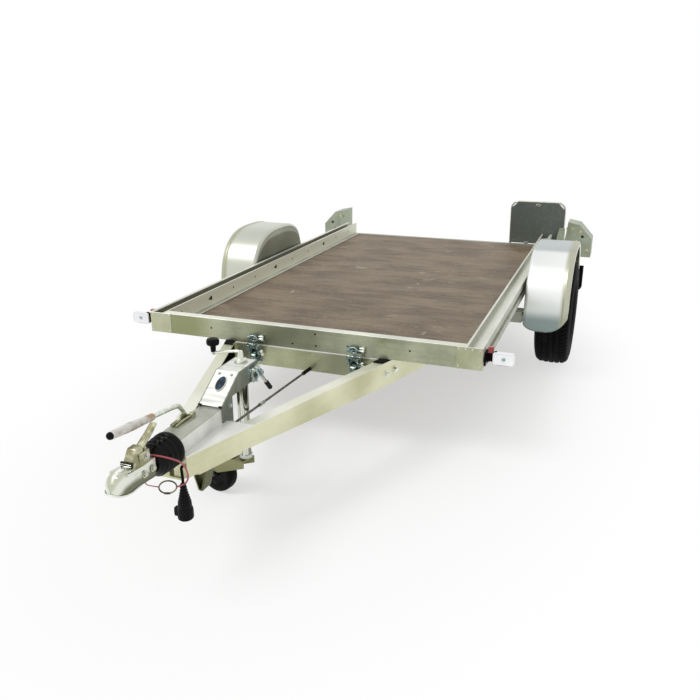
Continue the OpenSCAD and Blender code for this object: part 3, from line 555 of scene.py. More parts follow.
# %% Film-faced plywood
def film_plywood(name):
    """Brown film: height is the product of two crossed sine prints, colour drifts in cross streaks and
    patches, and pale scuffs lie where a wide noise passes its middle."""
    mat, shader, p = blank(name, Specular_IOR_Level=0.3)
    streaks, cloud = p.noise(22, 8.0, (0.3, 1.3, 1)), p.noise(5.5, 8.0, (0.6, 1.2, 1))
    fine, line = p.noise(110, 4.0, (0.35, 1.0, 1)), p.noise(2.6, 2.5, (0.55, 1.25, 1)) - 0.5
    scuff = (1.0 - (line * line).step(0.0, 0.00006)) * p.noise(9, 4.0).step(0.5, 0.68)
    turned = [p.add("ShaderNodeMapping", {"Vector": p, "Rotation": (0, 0, a)}) for a in (0.6, -0.6)]
    waves = [p.add("ShaderNodeTexWave", {"Vector": q, "Scale": 62.0}, out="Fac") for q in turned]
    mesh_print = waves[0] * waves[1]
    tone = (0.26 * streaks.step(0.34, 0.66) + 0.36 * cloud.step(0.34, 0.66) + 0.28 * fine.step(0.3, 0.7)
            + 0.1 * mesh_print)
    film = tone.mix((84, 70, 55), (150, 134, 113))
    plug_in(shader, Base_Color=(0.55 * scuff).mix(film, (190, 180, 166)), Roughness=0.48 + 0.16 * streaks,
            Height=(mesh_print, 0.0004))
    return mat


plywood = film_plywood("plywood")


def twisted(name, dark, pale):
    """Plastic-covered wire rope: stripes run round the rope as slanted waves."""
    mat, shader, p = blank(name, Coat_Weight=0.4)
    strands = p.add("ShaderNodeTexWave", {"Vector": p, "Scale": 90.0}, out="Fac", bands_direction="DIAGONAL")
    plug_in(shader, Base_Color=strands.mix(dark, pale), Roughness=0.25 + 0.2 * strands,
            Height=(strands, 0.0003))
    return mat


red_rope = twisted("red_rope", (126, 26, 38), (196, 84, 94))
print("film plywood and rope")

# %% [markdown]
# Each new piece below takes one of the finishes above.

# %% [markdown]
# Cables come first among the pieces. The plug's lead leaves the right arm's front end and hangs
# straight down. The red breakaway rope leaves the handbrake, passes round the front of the gaiter and
# ends in a snap hook; a thinner tail goes from the hook back up to the coupling's neck.

# %% Cables
def cable(name, route, radius, finish, k=10):
    """A round tube along a Catmull-Rom route, with the length of that route."""
    path = spline(route, k)
    length = float(np.linalg.norm(np.diff(path, axis=0), axis=1).sum())
    return piece(name, sweep(path, circle(radius, 14), (0.3, 0.2, 1)), "chassis", finish), path, length


hook_c, hook_r = np.array([0.014, APEX - 0.1, 0.37]), 0.03


def hook_at(deg):
    """A point on the hook's round path."""
    return hook_c + hook_r * np.array([math.cos(math.radians(deg)), math.sin(math.radians(deg)), 0])


lead_route = [(0.046, NOSE - 0.0004, 0.43), (0.048, NOSE - 0.012, 0.429), (0.055, NOSE - 0.021, 0.418),
              (0.058, NOSE - 0.024, 0.4), (0.058, NOSE - 0.024, 0.356)]
rope_route = [(-0.0456, APEX + 0.01, 0.5), (-0.06, APEX + 0.009, 0.5), (-0.072, APEX - 0.02, 0.494),
              (-0.073, APEX - 0.08, 0.486), (-0.062, APEX - 0.14, 0.506), (-0.038, APEX - 0.174, 0.526),
              (0, APEX - 0.182, 0.531), (0.056, APEX - 0.16, 0.52), (0.088, APEX - 0.118, 0.484),
              (0.092, APEX - 0.092, 0.43), (0.08, APEX - 0.088, 0.394), hook_at(20)]
tail_route = [hook_at(200), (-0.014, APEX - 0.144, 0.392), (0, APEX - 0.192, 0.426), (0, APEX - 0.2, 0.446),
              (0, APEX - 0.2, 0.4647)]
lead, lead_path, lead_len = cable("plug_lead", lead_route, 0.005, rubber)
rope, rope_path, rope_len = cable("breakaway_rope", rope_route, 0.003, red_rope)
tail, tail_path, tail_len = cable("breakaway_tail", tail_route, 0.002, red_rope)
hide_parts("plug_cable")
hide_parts("breakaway_cable")
print("cable lengths", round(lead_len, 3), round(rope_len, 3), round(tail_len, 3))

# %% [markdown]
# The plug is a moulded body with a ribbed boot, a collar and a side lug that locks it in its socket.
# The snap hook is an oval of round wire with a gate, lying on the same ring as its solid.

# %% Plug and snap hook
PLUG_LOW, PLUG_TOP = 0.244, 0.378
HOOK_TURN, HOOK_LEAN, HOOK_SHORT = 0.349, math.radians(50), 0.021
boot = [(0.0095 + 0.0145 * t**1.4 + 0.0011 * math.sin(t * 2 * math.pi * 7), PLUG_TOP - 0.074 * t)
        for t in np.linspace(0, 1, 57)]
plug_profile = [(0, 0), (0.024, 0), (0.027, 0.003), (0.027, 0.038), (0.0262, 0.042), (0.024, 0.044), (0.024, 0.06)]
plug_profile = [(r, PLUG_LOW + h) for r, h in plug_profile] + boot[::-1] + [(0, PLUG_TOP)]
plug_at = np.array([0.058, NOSE - 0.024, PLUG_LOW])
around = [plug_at + [0.0255 * math.cos(a), 0.0255 * math.sin(a), 0] for a in np.arange(14) * 2 * np.pi / 14]
ribs = [slab(c + [-0.0022, -0.0022, 0.006], c + [0.0022, 0.0022, 0.038]) for c in around]
lug = [slab(plug_at + [-0.04, -0.008, 0.006], plug_at + [-0.022, 0.008, 0.038]),
       slab(plug_at + [-0.043, -0.005, 0.01], plug_at + [-0.039, 0.005, 0.026])]
plug = piece("plug_body", [lathe(plug_profile, plug_at * [1, 1, 0])] + ribs + lug, "chassis", black_plastic, 0.0008)
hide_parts("plug")
c, s = math.cos(HOOK_TURN), math.sin(HOOK_TURN)
long_way = np.array([c, s, 0])
short_way = np.array([-s * math.cos(HOOK_LEAN), c * math.cos(HOOK_LEAN), math.sin(HOOK_LEAN)])
oval = loop(hook_c, hook_r * long_way, HOOK_SHORT * short_way, 72)
gate_line = [(0, -0.011), (0.0036, -0.01), (0.004, 0), (0.0036, 0.01), (0, 0.011)]
gate = lathe(gate_line, hook_c - HOOK_SHORT * short_way, long_way, 16)
hook = piece("snap_hook", [sweep(oval, circle(0.0027, 14), closed=True), gate], "chassis", hook_steel)
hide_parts("carabiner")

# %% [markdown]
# The CAD solids whose shapes are right stay, and each gets its finish. Their meshes are loose
# triangles, so a Weld joins them and a narrow Bevel breaks the edges of the folded steel. A plus after
# a name in the table below marks such a solid.

# %% Finishes for the CAD solids
wear = {
    arm_steel: "drawbar_arms+ drawbar_base_plate+", skid_steel: "skid_bracket+", fork_steel: "jockey_fork+",
    beam_steel: "front_beam+", cross_steel: "drawbar_cross_beam+", plate_steel: "drawbar_top_plate+",
    housing_steel: "overrun_housing+", tower_steel: "jack_tower+", rod_steel: "brake_rod",
    latch_zinc: "latch_bases+ latch_hooks+", corner_steel: "corner_plates+", rail_steel: "side_rails",
    under_steel: "axle_beam+ cross_members pivot_lugs rear_beam+ guard_brackets+ swing_arms",
    guard_steel: "mudguards", box_steel: "lamp_boxes+", press_steel: "coupling_head", tube_chrome: "jack_leg",
    zinc: "coupling_lever+ handbrake_lever jack_clamp jack_crank carabiner flap_frame_left flap_frame_right",
    rubber: "brake_rod_boot mudflaps+ rest_pads plug_cable jockey_wheel marker_arms",
    gaiter: "drawbar_bellows", black_plastic: "jack_clamp_grip plug crank_knob", grip_grey: "handbrake_grip",
    blue_cap: "tower_disc", plywood: "deck_floor", red_rope: "breakaway_cable",
    red_lens: "tail_lamps marker_reflectors+", white_lens: "marker_lenses+",
    tyre_rubber: "tyre_left tyre_right", rim_silver: "rim_left rim_right",
    flap_paint: "flap_plate_left+ flap_plate_right+",
}
dressed = {n.rstrip("+"): (finish, n.endswith("+")) for finish, names in wear.items() for n in names.split()}
for name, obj in node.items():
    finish, folded = dressed[name]
    obj.data.materials.clear()
    obj.data.materials.append(finish)
    if folded:
        obj.modifiers.new("weld", "WELD").merge_threshold = 1e-5
        bevelled(obj, 0.0012).harden_normals = True
print("solids dressed", len(node))

# %% [markdown]
# Bolts and rivets are stamped: one head is worked out once as a small lathe, six-sided where a
# spanner grips it, and copied to many places by turning its arrays to each place's direction.

# %% Bolts and rivets
def six_sided(a):
    """Radius of a hexagon over its inner circle, as a function of the angle."""
    return 1 / np.cos((a % (np.pi / 3)) - np.pi / 6)


def stamp(shape, places, ways):
    """Copies of a shape: each is turned so that its z axis points the given way, and moved to its place."""
    points, faces = shape
    frames = np.stack([np.stack(basis(w), 0) for w in ways])
    moved = np.einsum("pk,nkj->npj", points, frames) + np.asarray(places, float)[:, None]
    return moved.reshape(-1, 3), (faces[None] + np.arange(len(places))[:, None, None] * len(points)).reshape(-1, 4)


def bolt(r, h):
    """A washer with a six-sided head of inner radius r and height h on it."""
    washer = drum(1.7 * r, 0, 0.2 * h, n=24)
    head = lathe([(0.9 * r, 0.2 * h), (r, 0.26 * h), (r, 0.9 * h), (0.86 * r, h), (0, h)], n=24, corner=six_sided)
    return np.concatenate([washer[0], head[0]]), np.concatenate([washer[1], head[1] + len(washer[0])])


def rivet(r, h):
    """A low domed head."""
    t = np.linspace(0, np.pi / 2, 5)
    return lathe(np.stack([r * np.cos(t), h * np.sin(t)], -1), n=12)


def hole(r):
    """A dark disc just proud of a face, with a thin turned edge: painted shade that shows a punched hole."""
    return lathe([(1.12 * r, 0), (1.12 * r, 0.0006), (r, 0.0008), (r, 0.0003), (0, 0.0003)], n=20)


def fasten(name, head, spots, way, body, finish, twin=False):
    """One piece of heads stamped at spots. Way is a direction, or 1 for outwards and -1 for inwards on each
    side; twin adds the mirror images."""
    ways = [(way * np.sign(s[0]), 0, 0) for s in spots] if np.isscalar(way) else [way] * len(spots)
    heads = stamp(head, spots, ways)
    return piece(name, both(heads) if twin else heads, body, finish)


# %% [markdown]
# Rivets hold the corner plates to the front beam. Punched holes run along the inside of both rails,
# where loads are tied down, and two big bolts fix each drawbar arm under the bed. A bright lip shows
# along the cross beam, and another where each rail laps the floor.

# %% Fastenings of the bed and the drawbar
RAIL_FACE = 0.77
rows = ((0.563, (0.742, 0.772, 0.802, 0.836)), (0.484, (0.742, 0.836)))
spots = [(x, FRONT - 0.002, z) for z, row in rows for x in row]
spots += [(-x, y, z) for x, y, z in spots]
fasten("corner_rivets", rivet(0.0048, 0.0028), spots, FORWARD, "bed", zinc)
spots = [(x, FRONT, z) for x, z in ((-0.5, 0.525), (0.057, 0.553), (-0.06, 0.494), (0.06, 0.495), (0.52, 0.525))]
fasten("beam_holes", hole(0.0042), spots, FORWARD, "bed", hole_shade)
lip = slab((-0.37, FRONT + 0.001, 0.4648), (0.37, FRONT + 0.004, 0.4702))
piece("cross_beam_lip", lip, "chassis", plate_steel, 0.001)
for size, first, gap in ((0.011, 0.46, 0.84), (0.005, 0.16, 0.28)):
    spots = [(s * RAIL_FACE, y, 0.535) for s in (-1, 1) for y in np.arange(FRONT + first, REAR - 0.05, gap)]
    fasten(f"rail_holes_{round(size * 1000)}", hole(size), spots, -1, "bed", hole_shade)
lap = slab((0.7385, FRONT + 0.046, 0.4902), (0.7445, REAR - 0.041, 0.494))
piece("lap_edges", both(lap), "bed", plate_steel, 0.001)
spots = [(ARM_X + (y - APEX) * math.tan(ARM_SLOPE), y, z) for y, z in ((FRONT - 0.025, 0.409), (FRONT + 0.043, 0.411))]
arm_way = (math.cos(ARM_SLOPE), -math.sin(ARM_SLOPE), 0)
fasten("arm_bolts", bolt(0.01, 0.012), spots, arm_way, "chassis", satin, twin=True)
print("rivets, holes and arm bolts")

# %% [markdown]
# A mudguard is a rolled sheet: its section starts at the inner wall, bends over a round corner,
# crosses the crown and folds down into a lip with a rolled bead. The section is carried round the
# wheel on a squared circle, so that the top is flat and the front upright, and its front end is cut in
# a curve, so that the middle hangs lowest.

# %% Mudguards
def arc(cx, cr, r, a0, a1, n):
    """Points [x, radius] on a circle's arc between two angles in degrees."""
    a = np.radians(np.linspace(a0, a1, n))
    return np.stack([cx + r * np.cos(a), cr + r * np.sin(a)], -1)


GUARD_END, GUARD_R, GUARD_IN = np.radians(30), 0.428, 0.87  # rear end, crown radius, inner wall


def squared(a):
    """How much further out than a circle: (|cos a|^p + |sin a|^p)^(-1/p) with p = 2.8, fading to a circle
    at the rear end."""
    p = 2.8
    out = (np.abs(np.cos(a)) ** p + np.abs(np.sin(a)) ** p) ** (-1 / p)
    t = np.clip((a - GUARD_END) / np.radians(26), 0, 1)
    return 1 + (out - 1) * t * t * (3 - 2 * t)


def round_wheel(x, r, a):
    """Point = (x, wheel centre + squared(a) r (cos a, sin a))."""
    out = r * squared(a)
    return np.stack([np.broadcast_to(x, a.shape), WHEEL + out * np.cos(a), WHEEL_Z + out * np.sin(a)], -1)


def guard(n=97):
    """The shell, the wall below it and the bead; the shell's last angle drops off to both sides of its section."""
    crown = np.stack([np.linspace(0.892, 1.082, 15), np.full(15, GUARD_R)], -1)
    ridge = np.stack([np.linspace(1.086, 1.104, 7), GUARD_R + 0.0035 * np.sin(np.linspace(0, np.pi, 7))], -1)
    x, r = np.concatenate([arc(0.89, 0.408, 0.02, 180, 92, 9), crown, ridge, arc(1.108, 0.416, 0.012, 88, 0, 6),
                           arc(1.1155, 0.402, 0.0045, 0, -200, 9)]).T
    across = np.clip((x - GUARD_IN) / 0.25, 0, 1) * 2 - 1
    last = np.radians(177 + 5 * (1 - across**4) - 7 * np.clip(across, 0, 1) ** 2)
    shell = round_wheel(x, r, GUARD_END + np.linspace(0, 1, n)[:, None] * (last - GUARD_END)[None])
    b = np.radians(np.linspace(30, 165.1, n))
    top, bead = round_wheel(GUARD_IN, 0.408, b), round_wheel(1.1165, 0.402, b)
    low = top * [1, 1, 0] + [0, 0, 0.43]
    t = np.linspace(0, 1, 9)[None, :, None]
    return grid(shell), grid(low[:, None] * (1 - t) + top[:, None] * t), sweep(bead, circle(0.005, 10), RIGHT)


stay = slab((0.885, WHEEL + 0.3607, 0.52), (1.105, WHEEL + 0.37, 0.545))
shell, wall, bead = guard()
guards = piece("guard_shells", both(shell), "chassis", guard_steel, thick=0.002)
piece("guard_walls", both(wall), "chassis", shade_sheet, thick=0.002)
piece("guard_beads", both(bead), "chassis", corner_steel)
piece("guard_stays", both(stay), "chassis", guard_steel, 0.001)
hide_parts("mudguards")
spots = [(x, WHEEL + 0.3757, 0.533) for x in (0.92, 0.995, 1.07)]
fasten("mudflap_bolts", bolt(0.006, 0.006), spots, BACKWARD, "chassis", zinc, twin=True)

# %% [markdown]
# A tyre is a lathe with a moulded tread. The radius over the tread is lowered by a depth that depends
# on the place across and on the angle: four grooves run all the way round, and slanted cuts part the
# shoulders into blocks. Whole arrays of depth make the tread in one step.

# %% Tyres
def pulse(d, half, soft):
    """1 where |d| is under half, 0 beyond half + soft."""
    return np.clip((half + soft - np.abs(d)) / soft, 0, 1)


def tyre(side, turns=576, edge=0.0574, steps=12):
    """Radius = section radius - depth(across, angle), with slanted cuts on 72 pitches."""
    half = np.array([(0.182, -0.0738), (0.196, -0.088), (0.21, -0.0945), (0.2535, -0.1025), (0.284, -0.099),
                     (0.298, -0.095), (0.309, -0.0868), (0.3165, -0.0738), (0.3212, -edge)])
    knots = np.concatenate([half, half[::-1] * [1, -1]])
    fine = spline(np.c_[knots, np.zeros(len(knots))], steps)[:, :2]
    wide = np.linspace(-edge, edge, 58)
    flat = np.stack([WHEEL_Z - 0.0038 * (wide / edge) ** 2, wide], -1)
    cut = (len(half) - 1) * steps
    r, x = np.concatenate([fine[:cut], flat, fine[cut + steps + 1:]]).T
    a = np.arange(turns)[:, None] * 2 * np.pi / turns
    grooves = sum(pulse(x - g, 0.0032, 0.0016) for g in (-0.05, -0.017, 0.017, 0.05))
    pitch = (a * 72 / (2 * np.pi) + 14 * np.abs(x) + 0.5 * (x > 0)) % 1 - 0.5
    shoulder = pulse(pitch, 0.1, 0.07) * (np.abs(x) > 0.053) * (np.abs(x) < 0.088)
    sipes = 0.5 * pulse((pitch + 0.25) % 1 - 0.5, 0.035, 0.05) * (np.abs(np.abs(x) - 0.0335) < 0.012)
    depth = 0.0065 * np.maximum(np.maximum(grooves, shoulder), sipes) * (r > 0.305)
    bands = 0.0012 * (pulse(r - 0.262, 0.006, 0.002) + pulse(r - 0.214, 0.004, 0.002))
    out, place = r - depth, side * WHEEL_X + (x + np.sign(x) * bands)
    points = [np.broadcast_to(place, out.shape), WHEEL + out * np.cos(a), WHEEL_Z + out * np.sin(a)]
    return grid(np.stack(points, -1), close_u=True, flip=True)


for side, where in SIDES:
    tread = piece("tread_" + where, tyre(side), "wheel_" + where, tyre_rubber)
    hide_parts("tyre_" + where)

# %% [markdown]
# Steel wheels carry five nuts, a dust cap over the bearing, a valve and a ring of vent holes.

# %% Wheel nuts, dust caps and vents
def spokes(n):
    """Directions evenly round the axle."""
    return [np.array([0, math.cos(t), math.sin(t)]) for t in np.arange(n) * 2 * np.pi / n]


cap_line = [(0.031, 0.029), (0.0305, 0.04), (0.026, 0.047), (0.012, 0.05), (0, 0.0505)]
valve_line = [(0, 0), (0.0045, 0), (0.0045, 0.018), (0.003, 0.02), (0.003, 0.03), (0, 0.03)]
for side, where in SIDES:
    way, hub = np.array([side, 0, 0]), np.array([side * WHEEL_X, WHEEL, WHEEL_Z])
    vents = spokes(12)
    nuts = stamp(bolt(0.0085, 0.016), [hub + 0.012 * way + 0.05 * f for f in spokes(5)], [way] * 5)
    valve = lathe(valve_line, hub + 0.15 * vents[2] + 0.004 * way, (side, 0, 0.2), 12)
    piece("wheel_nuts_" + where, [nuts, lathe(cap_line, hub, way), valve], "wheel_" + where, zinc)
    holes = stamp(hole(0.011), [hub + 0.0142 * way + 0.127 * t for t in vents], [way + 0.34 * t for t in vents])
    piece("wheel_vents_" + where, holes, "wheel_" + where, hole_shade)

# %% [markdown]
# The coupling is pressed from thick sheet. Its upper shell is lofted: at each station along it the
# section is a rounded arch given by a half width, a crown height and a rim height. A turned-out lip
# runs along the rim. The locking housing with its slots and the lever sit behind the dome.

# %% Coupling
def coupling_shell():
    """x = half cos^0.75, z = rim + (crown - rim) sin^0.75 at each station, with a lip turned out at both ends."""
    y = np.array([-0.043, -0.042, -0.0382, -0.032, -0.0205, 0.0, 0.026, 0.058, 0.092, 0.125, 0.14])
    half = np.array([0.003, 0.0094, 0.0192, 0.028, 0.0374, 0.0434, 0.042, 0.038, 0.0352, 0.0345, 0.0345])
    crown = np.array([0.496, 0.503, 0.5135, 0.523, 0.533, 0.539, 0.538, 0.533, 0.5265, 0.5252, 0.5252])
    rim = np.array([0.484, 0.482, 0.4795, 0.4785, 0.4778, 0.4775, 0.4775, 0.474, 0.4685, 0.4645, 0.4645])
    u = np.linspace(0, 1, 61) ** 1.35 * (len(y) - 1)
    y, half, crown, rim = (np.interp(u, np.arange(len(y)), c)[:, None] for c in (y, half, crown, rim))
    angle = np.linspace(0, np.pi, 41)[None]
    c, s = np.cos(angle), np.sin(angle)
    flare = np.array([1.06, 1.02])
    x = np.concatenate([half * flare, half * np.sign(c) * np.abs(c) ** 0.75, -half * flare[::-1]], 1)
    z = np.concatenate([rim + [-0.0015, 0.0015], rim + (crown - rim) * s**0.75, rim + [0.0015, -0.0015]], 1)
    yy = np.concatenate([y * np.where(y < 0, flare, 1), np.repeat(y, 41, 1), y * np.where(y < 0, flare[::-1], 1)], 1)
    points = np.stack([x, HEAD + yy, z], -1)
    return grid(points), np.concatenate([points[44::-1, 0], points[1:45, -1]])


pressed, rim_path = coupling_shell()
piece("coupling_shell", pressed, "chassis", press_steel, thick=0.0015)
piece("coupling_lip", sweep(rim_path, circle(0.0026, 10)), "chassis", plate_steel)
lock = [taper(0.522, 0.582, (-0.024, 0.024, LOCK + 0.052, LOCK + 0.122), (-0.017, 0.017, LOCK + 0.084, LOCK + 0.116))]
lock += both(slab((0.019, LOCK + 0.088, 0.516), (0.0265, LOCK + 0.14, 0.562)))
piece("coupling_lock", lock, "chassis", lock_steel, 0.004)
panel = slab((-0.021, LOCK + 0.049, 0.529), (0.021, LOCK + 0.056, 0.55))
piece("lock_panel", panel, "chassis", hole_shade, 0.001)
bars = [slab((-0.0195, LOCK + 0.0478, z), (0.0195, LOCK + 0.05, z + 0.0024)) for z in (0.5365, 0.5435)]
piece("lock_bars", bars, "chassis", satin, 0.0006)
handle_line = ((-0.052, 0.54), (-0.048, 0.562), (-0.03, 0.574), (0.005, 0.592), (0.044, 0.616))
handle_path = spline([(0, NECK + y, z) for y, z in handle_line], 10)
handle = sweep(handle_path, rounded(0.0078, 0.0125, 0.5, 72), (0, 0.3, 1),
               scale=1.15 - 0.25 * np.linspace(0, 1, len(handle_path)))
foot = slab((-0.013, NECK - 0.066, 0.5242), (0.013, NECK - 0.024, 0.566))
lever = piece("coupling_handle", [handle, foot], "chassis", lock_steel, 0.002)
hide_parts("coupling_lever")
spots = [(s * 0.0265, LOCK + 0.12, 0.548) for s in (-1, 1)]
spots += [(s * 0.0345, NECK - 0.03 - d, 0.496) for s in (-1, 1) for d in (0, 0.044)]
fasten("coupling_bolts", bolt(0.0075, 0.009), spots, 1, "chassis", zinc)

# %% [markdown]
# The gaiter keeps dirt off the sliding drawshaft. Its radius is a slow taper plus a wave for its
# folds, turned about the shaft, with a thick collar where it is clipped over the housing.

# %% Gaiter
s = np.linspace(0, 1, 121)
folds = 0.058 - 0.004 * s**2.4 + 0.0056 * np.cos(2 * np.pi * 3.5 * s) * (1 - 0.3 * s)
collar = [(0, 0), (0.061, 0), (0.063, 0.002), (0.063, 0.012), (0.06, 0.015)]
wavy = np.stack([folds, 0.016 + 0.086 * s], -1).tolist()
nose = [(0.047, 0.1045), (0.041, 0.108), (0.0385, 0.115), (0.026, 0.115)]
folds_at = (0, NOSE - 0.002, 0.49)
bellows = piece("gaiter_folds", lathe(collar + wavy + nose, folds_at, FORWARD, 72), "chassis", gaiter, smooth=60)
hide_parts("drawbar_bellows")

# %% [markdown]
# The handbrake is a bent bar with a soft grip and a black end cap. It turns on a stout bolt on the
# housing's left side, and a toothed quadrant, a link and a spring show through the housing's top.

# %% Handbrake
BRAKE_X = -0.051
bolt_at = np.array([BRAKE_X, APEX + 0.16, 0.492])
bend, end = np.array([BRAKE_X, APEX + 0.092, 0.582]), np.array([BRAKE_X, APEX - 0.288, 0.632])
along = unit(end - bend)
root = end - 0.23 * along
bar_path = spline([bolt_at, (BRAKE_X, APEX + 0.132, 0.53), (BRAKE_X, APEX + 0.104, 0.568), bend + [0, -0.004, -0.002],
                   bend + 0.03 * along, bend + 0.09 * along, root + 0.02 * along], 10)
bar_parts = [sweep(bar_path, rounded(0.0095, 0.0062, 1, 72), (0, -0.5, 1)), drum(0.02, -0.006, 0.006, bolt_at, LEFT)]
brake_bar = piece("handbrake_bar", bar_parts, "chassis", satin, 0.0008)
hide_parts("handbrake_lever")
grip_line = [(0, 0), (0.0112, 0), (0.0124, 0.004), (0.013, 0.045), (0.0146, 0.085), (0.0154, 0.125), (0.0144, 0.165),
             (0.0138, 0.195), (0.0126, 0.2165), (0, 0.217)]
grip_line = spline(np.c_[grip_line, np.zeros(len(grip_line))], 4)[:, :2]
soft_grip = piece("handbrake_soft_grip", lathe(grip_line, root, along), "chassis", grip_grey, smooth=60)
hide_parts("handbrake_grip")
end_line = [(0, 0.216), (0.0124, 0.216), (0.0128, 0.2185), (0.012, 0.224), (0.008, 0.229), (0, 0.23)]
piece("handbrake_cap", lathe(end_line, root, along), "chassis", black_plastic)
fasten("handbrake_bolt", bolt(0.01, 0.012), [bolt_at - [0.006, 0, 0]], LEFT, "chassis", zinc)
teeth = drum(0.034, -0.003, 0.003, (-0.03, APEX + 0.085, 0.522), RIGHT, 120,
             lambda t: 1 + 0.035 * np.sign(np.sin(30 * t)))
link_path = spline([(-0.016, APEX + y, z) for y, z in ((0.02, 0.537), (0.07, 0.54), (0.13, 0.536))])
link = sweep(link_path, circle(0.004))
t = np.linspace(0, 1, 260)
wind = t * 26 * np.pi
helix = np.stack([-0.03 + 0.006 * np.cos(wind), APEX + 0.015 + 0.05 * t, 0.54 + 0.006 * np.sin(wind)], -1)
spring = sweep(helix, circle(0.0011, 6), (1, 0, 0.2))
yoke = slab((-0.024, APEX + 0.11, 0.531), (-0.008, APEX + 0.136, 0.546))
piece("brake_linkage", [teeth, link, spring, yoke], "chassis", lock_steel, 0.0006)
well = slab((-0.04, APEX + 0.012, 0.531), (-0.002, APEX + 0.128, 0.5328))
piece("linkage_well", well, "chassis", box_steel, 0.0006)

# %% [markdown]
# The jack's tube slides in a clamp on the tower. Its crank is a bent rod with a knob at the end, and
# the tower has a pressed rim round the cap on its sloping front, bolts, and the clamp's screw.

# %% Jack and tower
CRANK_X = -0.122
crank_line = ((0, 0.632), (0, 0.656), (-0.008, 0.665), (-0.036, 0.662), (CRANK_X, 0.646))
crank_path = spline([(x, JACK, z) for x, z in crank_line], 10)
spindle_line = [(0, 0.6282), (0.023, 0.6282), (0.023, 0.634), (0.013, 0.638), (0.0105, 0.662), (0.008, 0.668),
                (0, 0.669)]
eye_end = drum(0.0095, 0.64, 0.65, (CRANK_X, JACK, 0))
crank = piece("crank_rod", [sweep(crank_path, circle(0.0055), BACKWARD), lathe(spindle_line, (0, JACK, 0)), eye_end],
              "jack", satin)
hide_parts("jack_crank")
knob_line = [(0, 0.65), (0.01, 0.65), (0.0118, 0.672), (0.016, 0.677), (0.024, 0.68), (0.026, 0.686),
             (0.026, 0.696), (0.0225, 0.704), (0.01, 0.707), (0, 0.7075)]
knob = piece("crank_grip", lathe(knob_line, (CRANK_X, JACK, 0), n=60), "jack", black_plastic, 0.0006)
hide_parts("crank_knob")
ring_lines = ([(0.024, 0.2062), (0.0275, 0.2072), (0.0275, 0.2212), (0.024, 0.2222)],
              [(0.0241, 0.614), (0.0265, 0.616), (0.0265, 0.626), (0.0178, 0.6285)])
piece("jack_rings", [lathe(line, (0, JACK, 0)) for line in ring_lines], "jack", zinc)
SLOPE_RUN, SLOPE_RISE, SLOPE_FOOT, CAP_PLACE = 0.14, 0.087, 0.535, 0.62
slope = math.atan2(SLOPE_RISE, SLOPE_RUN)
up_slope = np.array([0, math.cos(slope), math.sin(slope)])
off_slope = np.array([0, -math.sin(slope), math.cos(slope)])
disc_at = np.array([0, APEX + 0.222 + CAP_PLACE * SLOPE_RUN, SLOPE_FOOT + CAP_PLACE * SLOPE_RISE])


def longer(part, by=0.83):
    """Draws a shape out along the slope, which makes an oval of a circle."""
    return part[0] + by * ((part[0] - disc_at) @ up_slope)[:, None] * up_slope, part[1]


rim_line = [(0.0178, 0), (0.0196, 0.0008), (0.0202, 0.003), (0.0194, 0.0048), (0.018, 0.0042)]
piece("cap_rim", longer(lathe(rim_line[::-1], disc_at, off_slope)), "chassis", plate_steel)
dish = [(0.018, 0), (0.018, 0.004), (0.0165, 0.0052), (0.013, 0.0046), (0.007, 0.0058), (0, 0.0062)]
cap_dome = piece("cap_dome", longer(lathe(dish, disc_at, off_slope)), "chassis", blue_cap)
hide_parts("tower_disc")
spots = [disc_at + up_slope * 0.046 + off_slope * 0.0002 + [x, 0, 0] for x in (-0.026, 0.026)]
fasten("tower_ears", hole(0.0055), spots, off_slope, "chassis", shade_sheet)
notches = both(slab((0.036, APEX + 0.2195, 0.53), (0.05, APEX + 0.2245, 0.5385)))
piece("tower_notches", notches, "chassis", hole_shade, 0.001)
places = ((JACK - 0.03, 0.6), (JACK + 0.024, 0.602), (APEX + 0.28, 0.52), (APEX + 0.28, 0.448))
spots = [(s * 0.05, y, z) for s in (-1, 1) for y, z in places]
fasten("tower_bolts", bolt(0.007, 0.008), spots, 1, "chassis", blue_zinc)
clamp_y, clamp_z = JACK + 0.038, 0.572
t = np.linspace(0, 1, 200)
wind = t * 4 * np.pi
clamp_coil = np.stack([0.051 + 0.003 * t, clamp_y + 0.011 * np.cos(wind), clamp_z + 0.011 * np.sin(wind)], -1)
screw_end = stamp(bolt(0.009, 0.01), [(0.066, clamp_y, clamp_z)], [RIGHT])
cheeks = [slab((0.0502, JACK + y0, z0), (0.056, JACK + y1, z1)) for y0, y1, z0, z1 in
          ((-0.018, 0.041, 0.59, 0.604), (-0.018, -0.006, 0.549, 0.592), (0.022, 0.041, 0.549, 0.56))]
studs = ((-0.012, 0.597), (0.014, 0.597), (-0.012, 0.556))
stud_line = [(0, 0), (0.0045, 0), (0.0045, 0.026), (0.0035, 0.028), (0, 0.028)]
cheeks += [lathe(stud_line, (0.05, JACK + y, z), RIGHT, 16) for y, z in studs]
bow_line = ((0.06, -0.012, 0.556), (0.074, -0.01, 0.566), (0.076, -0.004, 0.584), (0.062, -0.01, 0.598))
bow_path = spline([(x, JACK + y, z) for x, y, z in bow_line])
piece("clamp_cheeks", cheeks + [sweep(bow_path, circle(0.0032))], "chassis", blue_zinc, 0.0008)
spots = [(0.058, JACK + y, z) for y, z in (*studs, (0.032, 0.597))]
fasten("clamp_nuts", bolt(0.0065, 0.007), spots, RIGHT, "chassis", satin)
piece("clamp_screw", [sweep(clamp_coil, circle(0.0016, 8), RIGHT), screw_end], "chassis", blue_zinc)

# %% [markdown]
# The jockey wheel is a solid rubber tyre on a plastic hub. Both are turned about the wheel's axle. The
# fork is a bar of two plates with dark legs down to the axle, and the heads of the axle bolt.

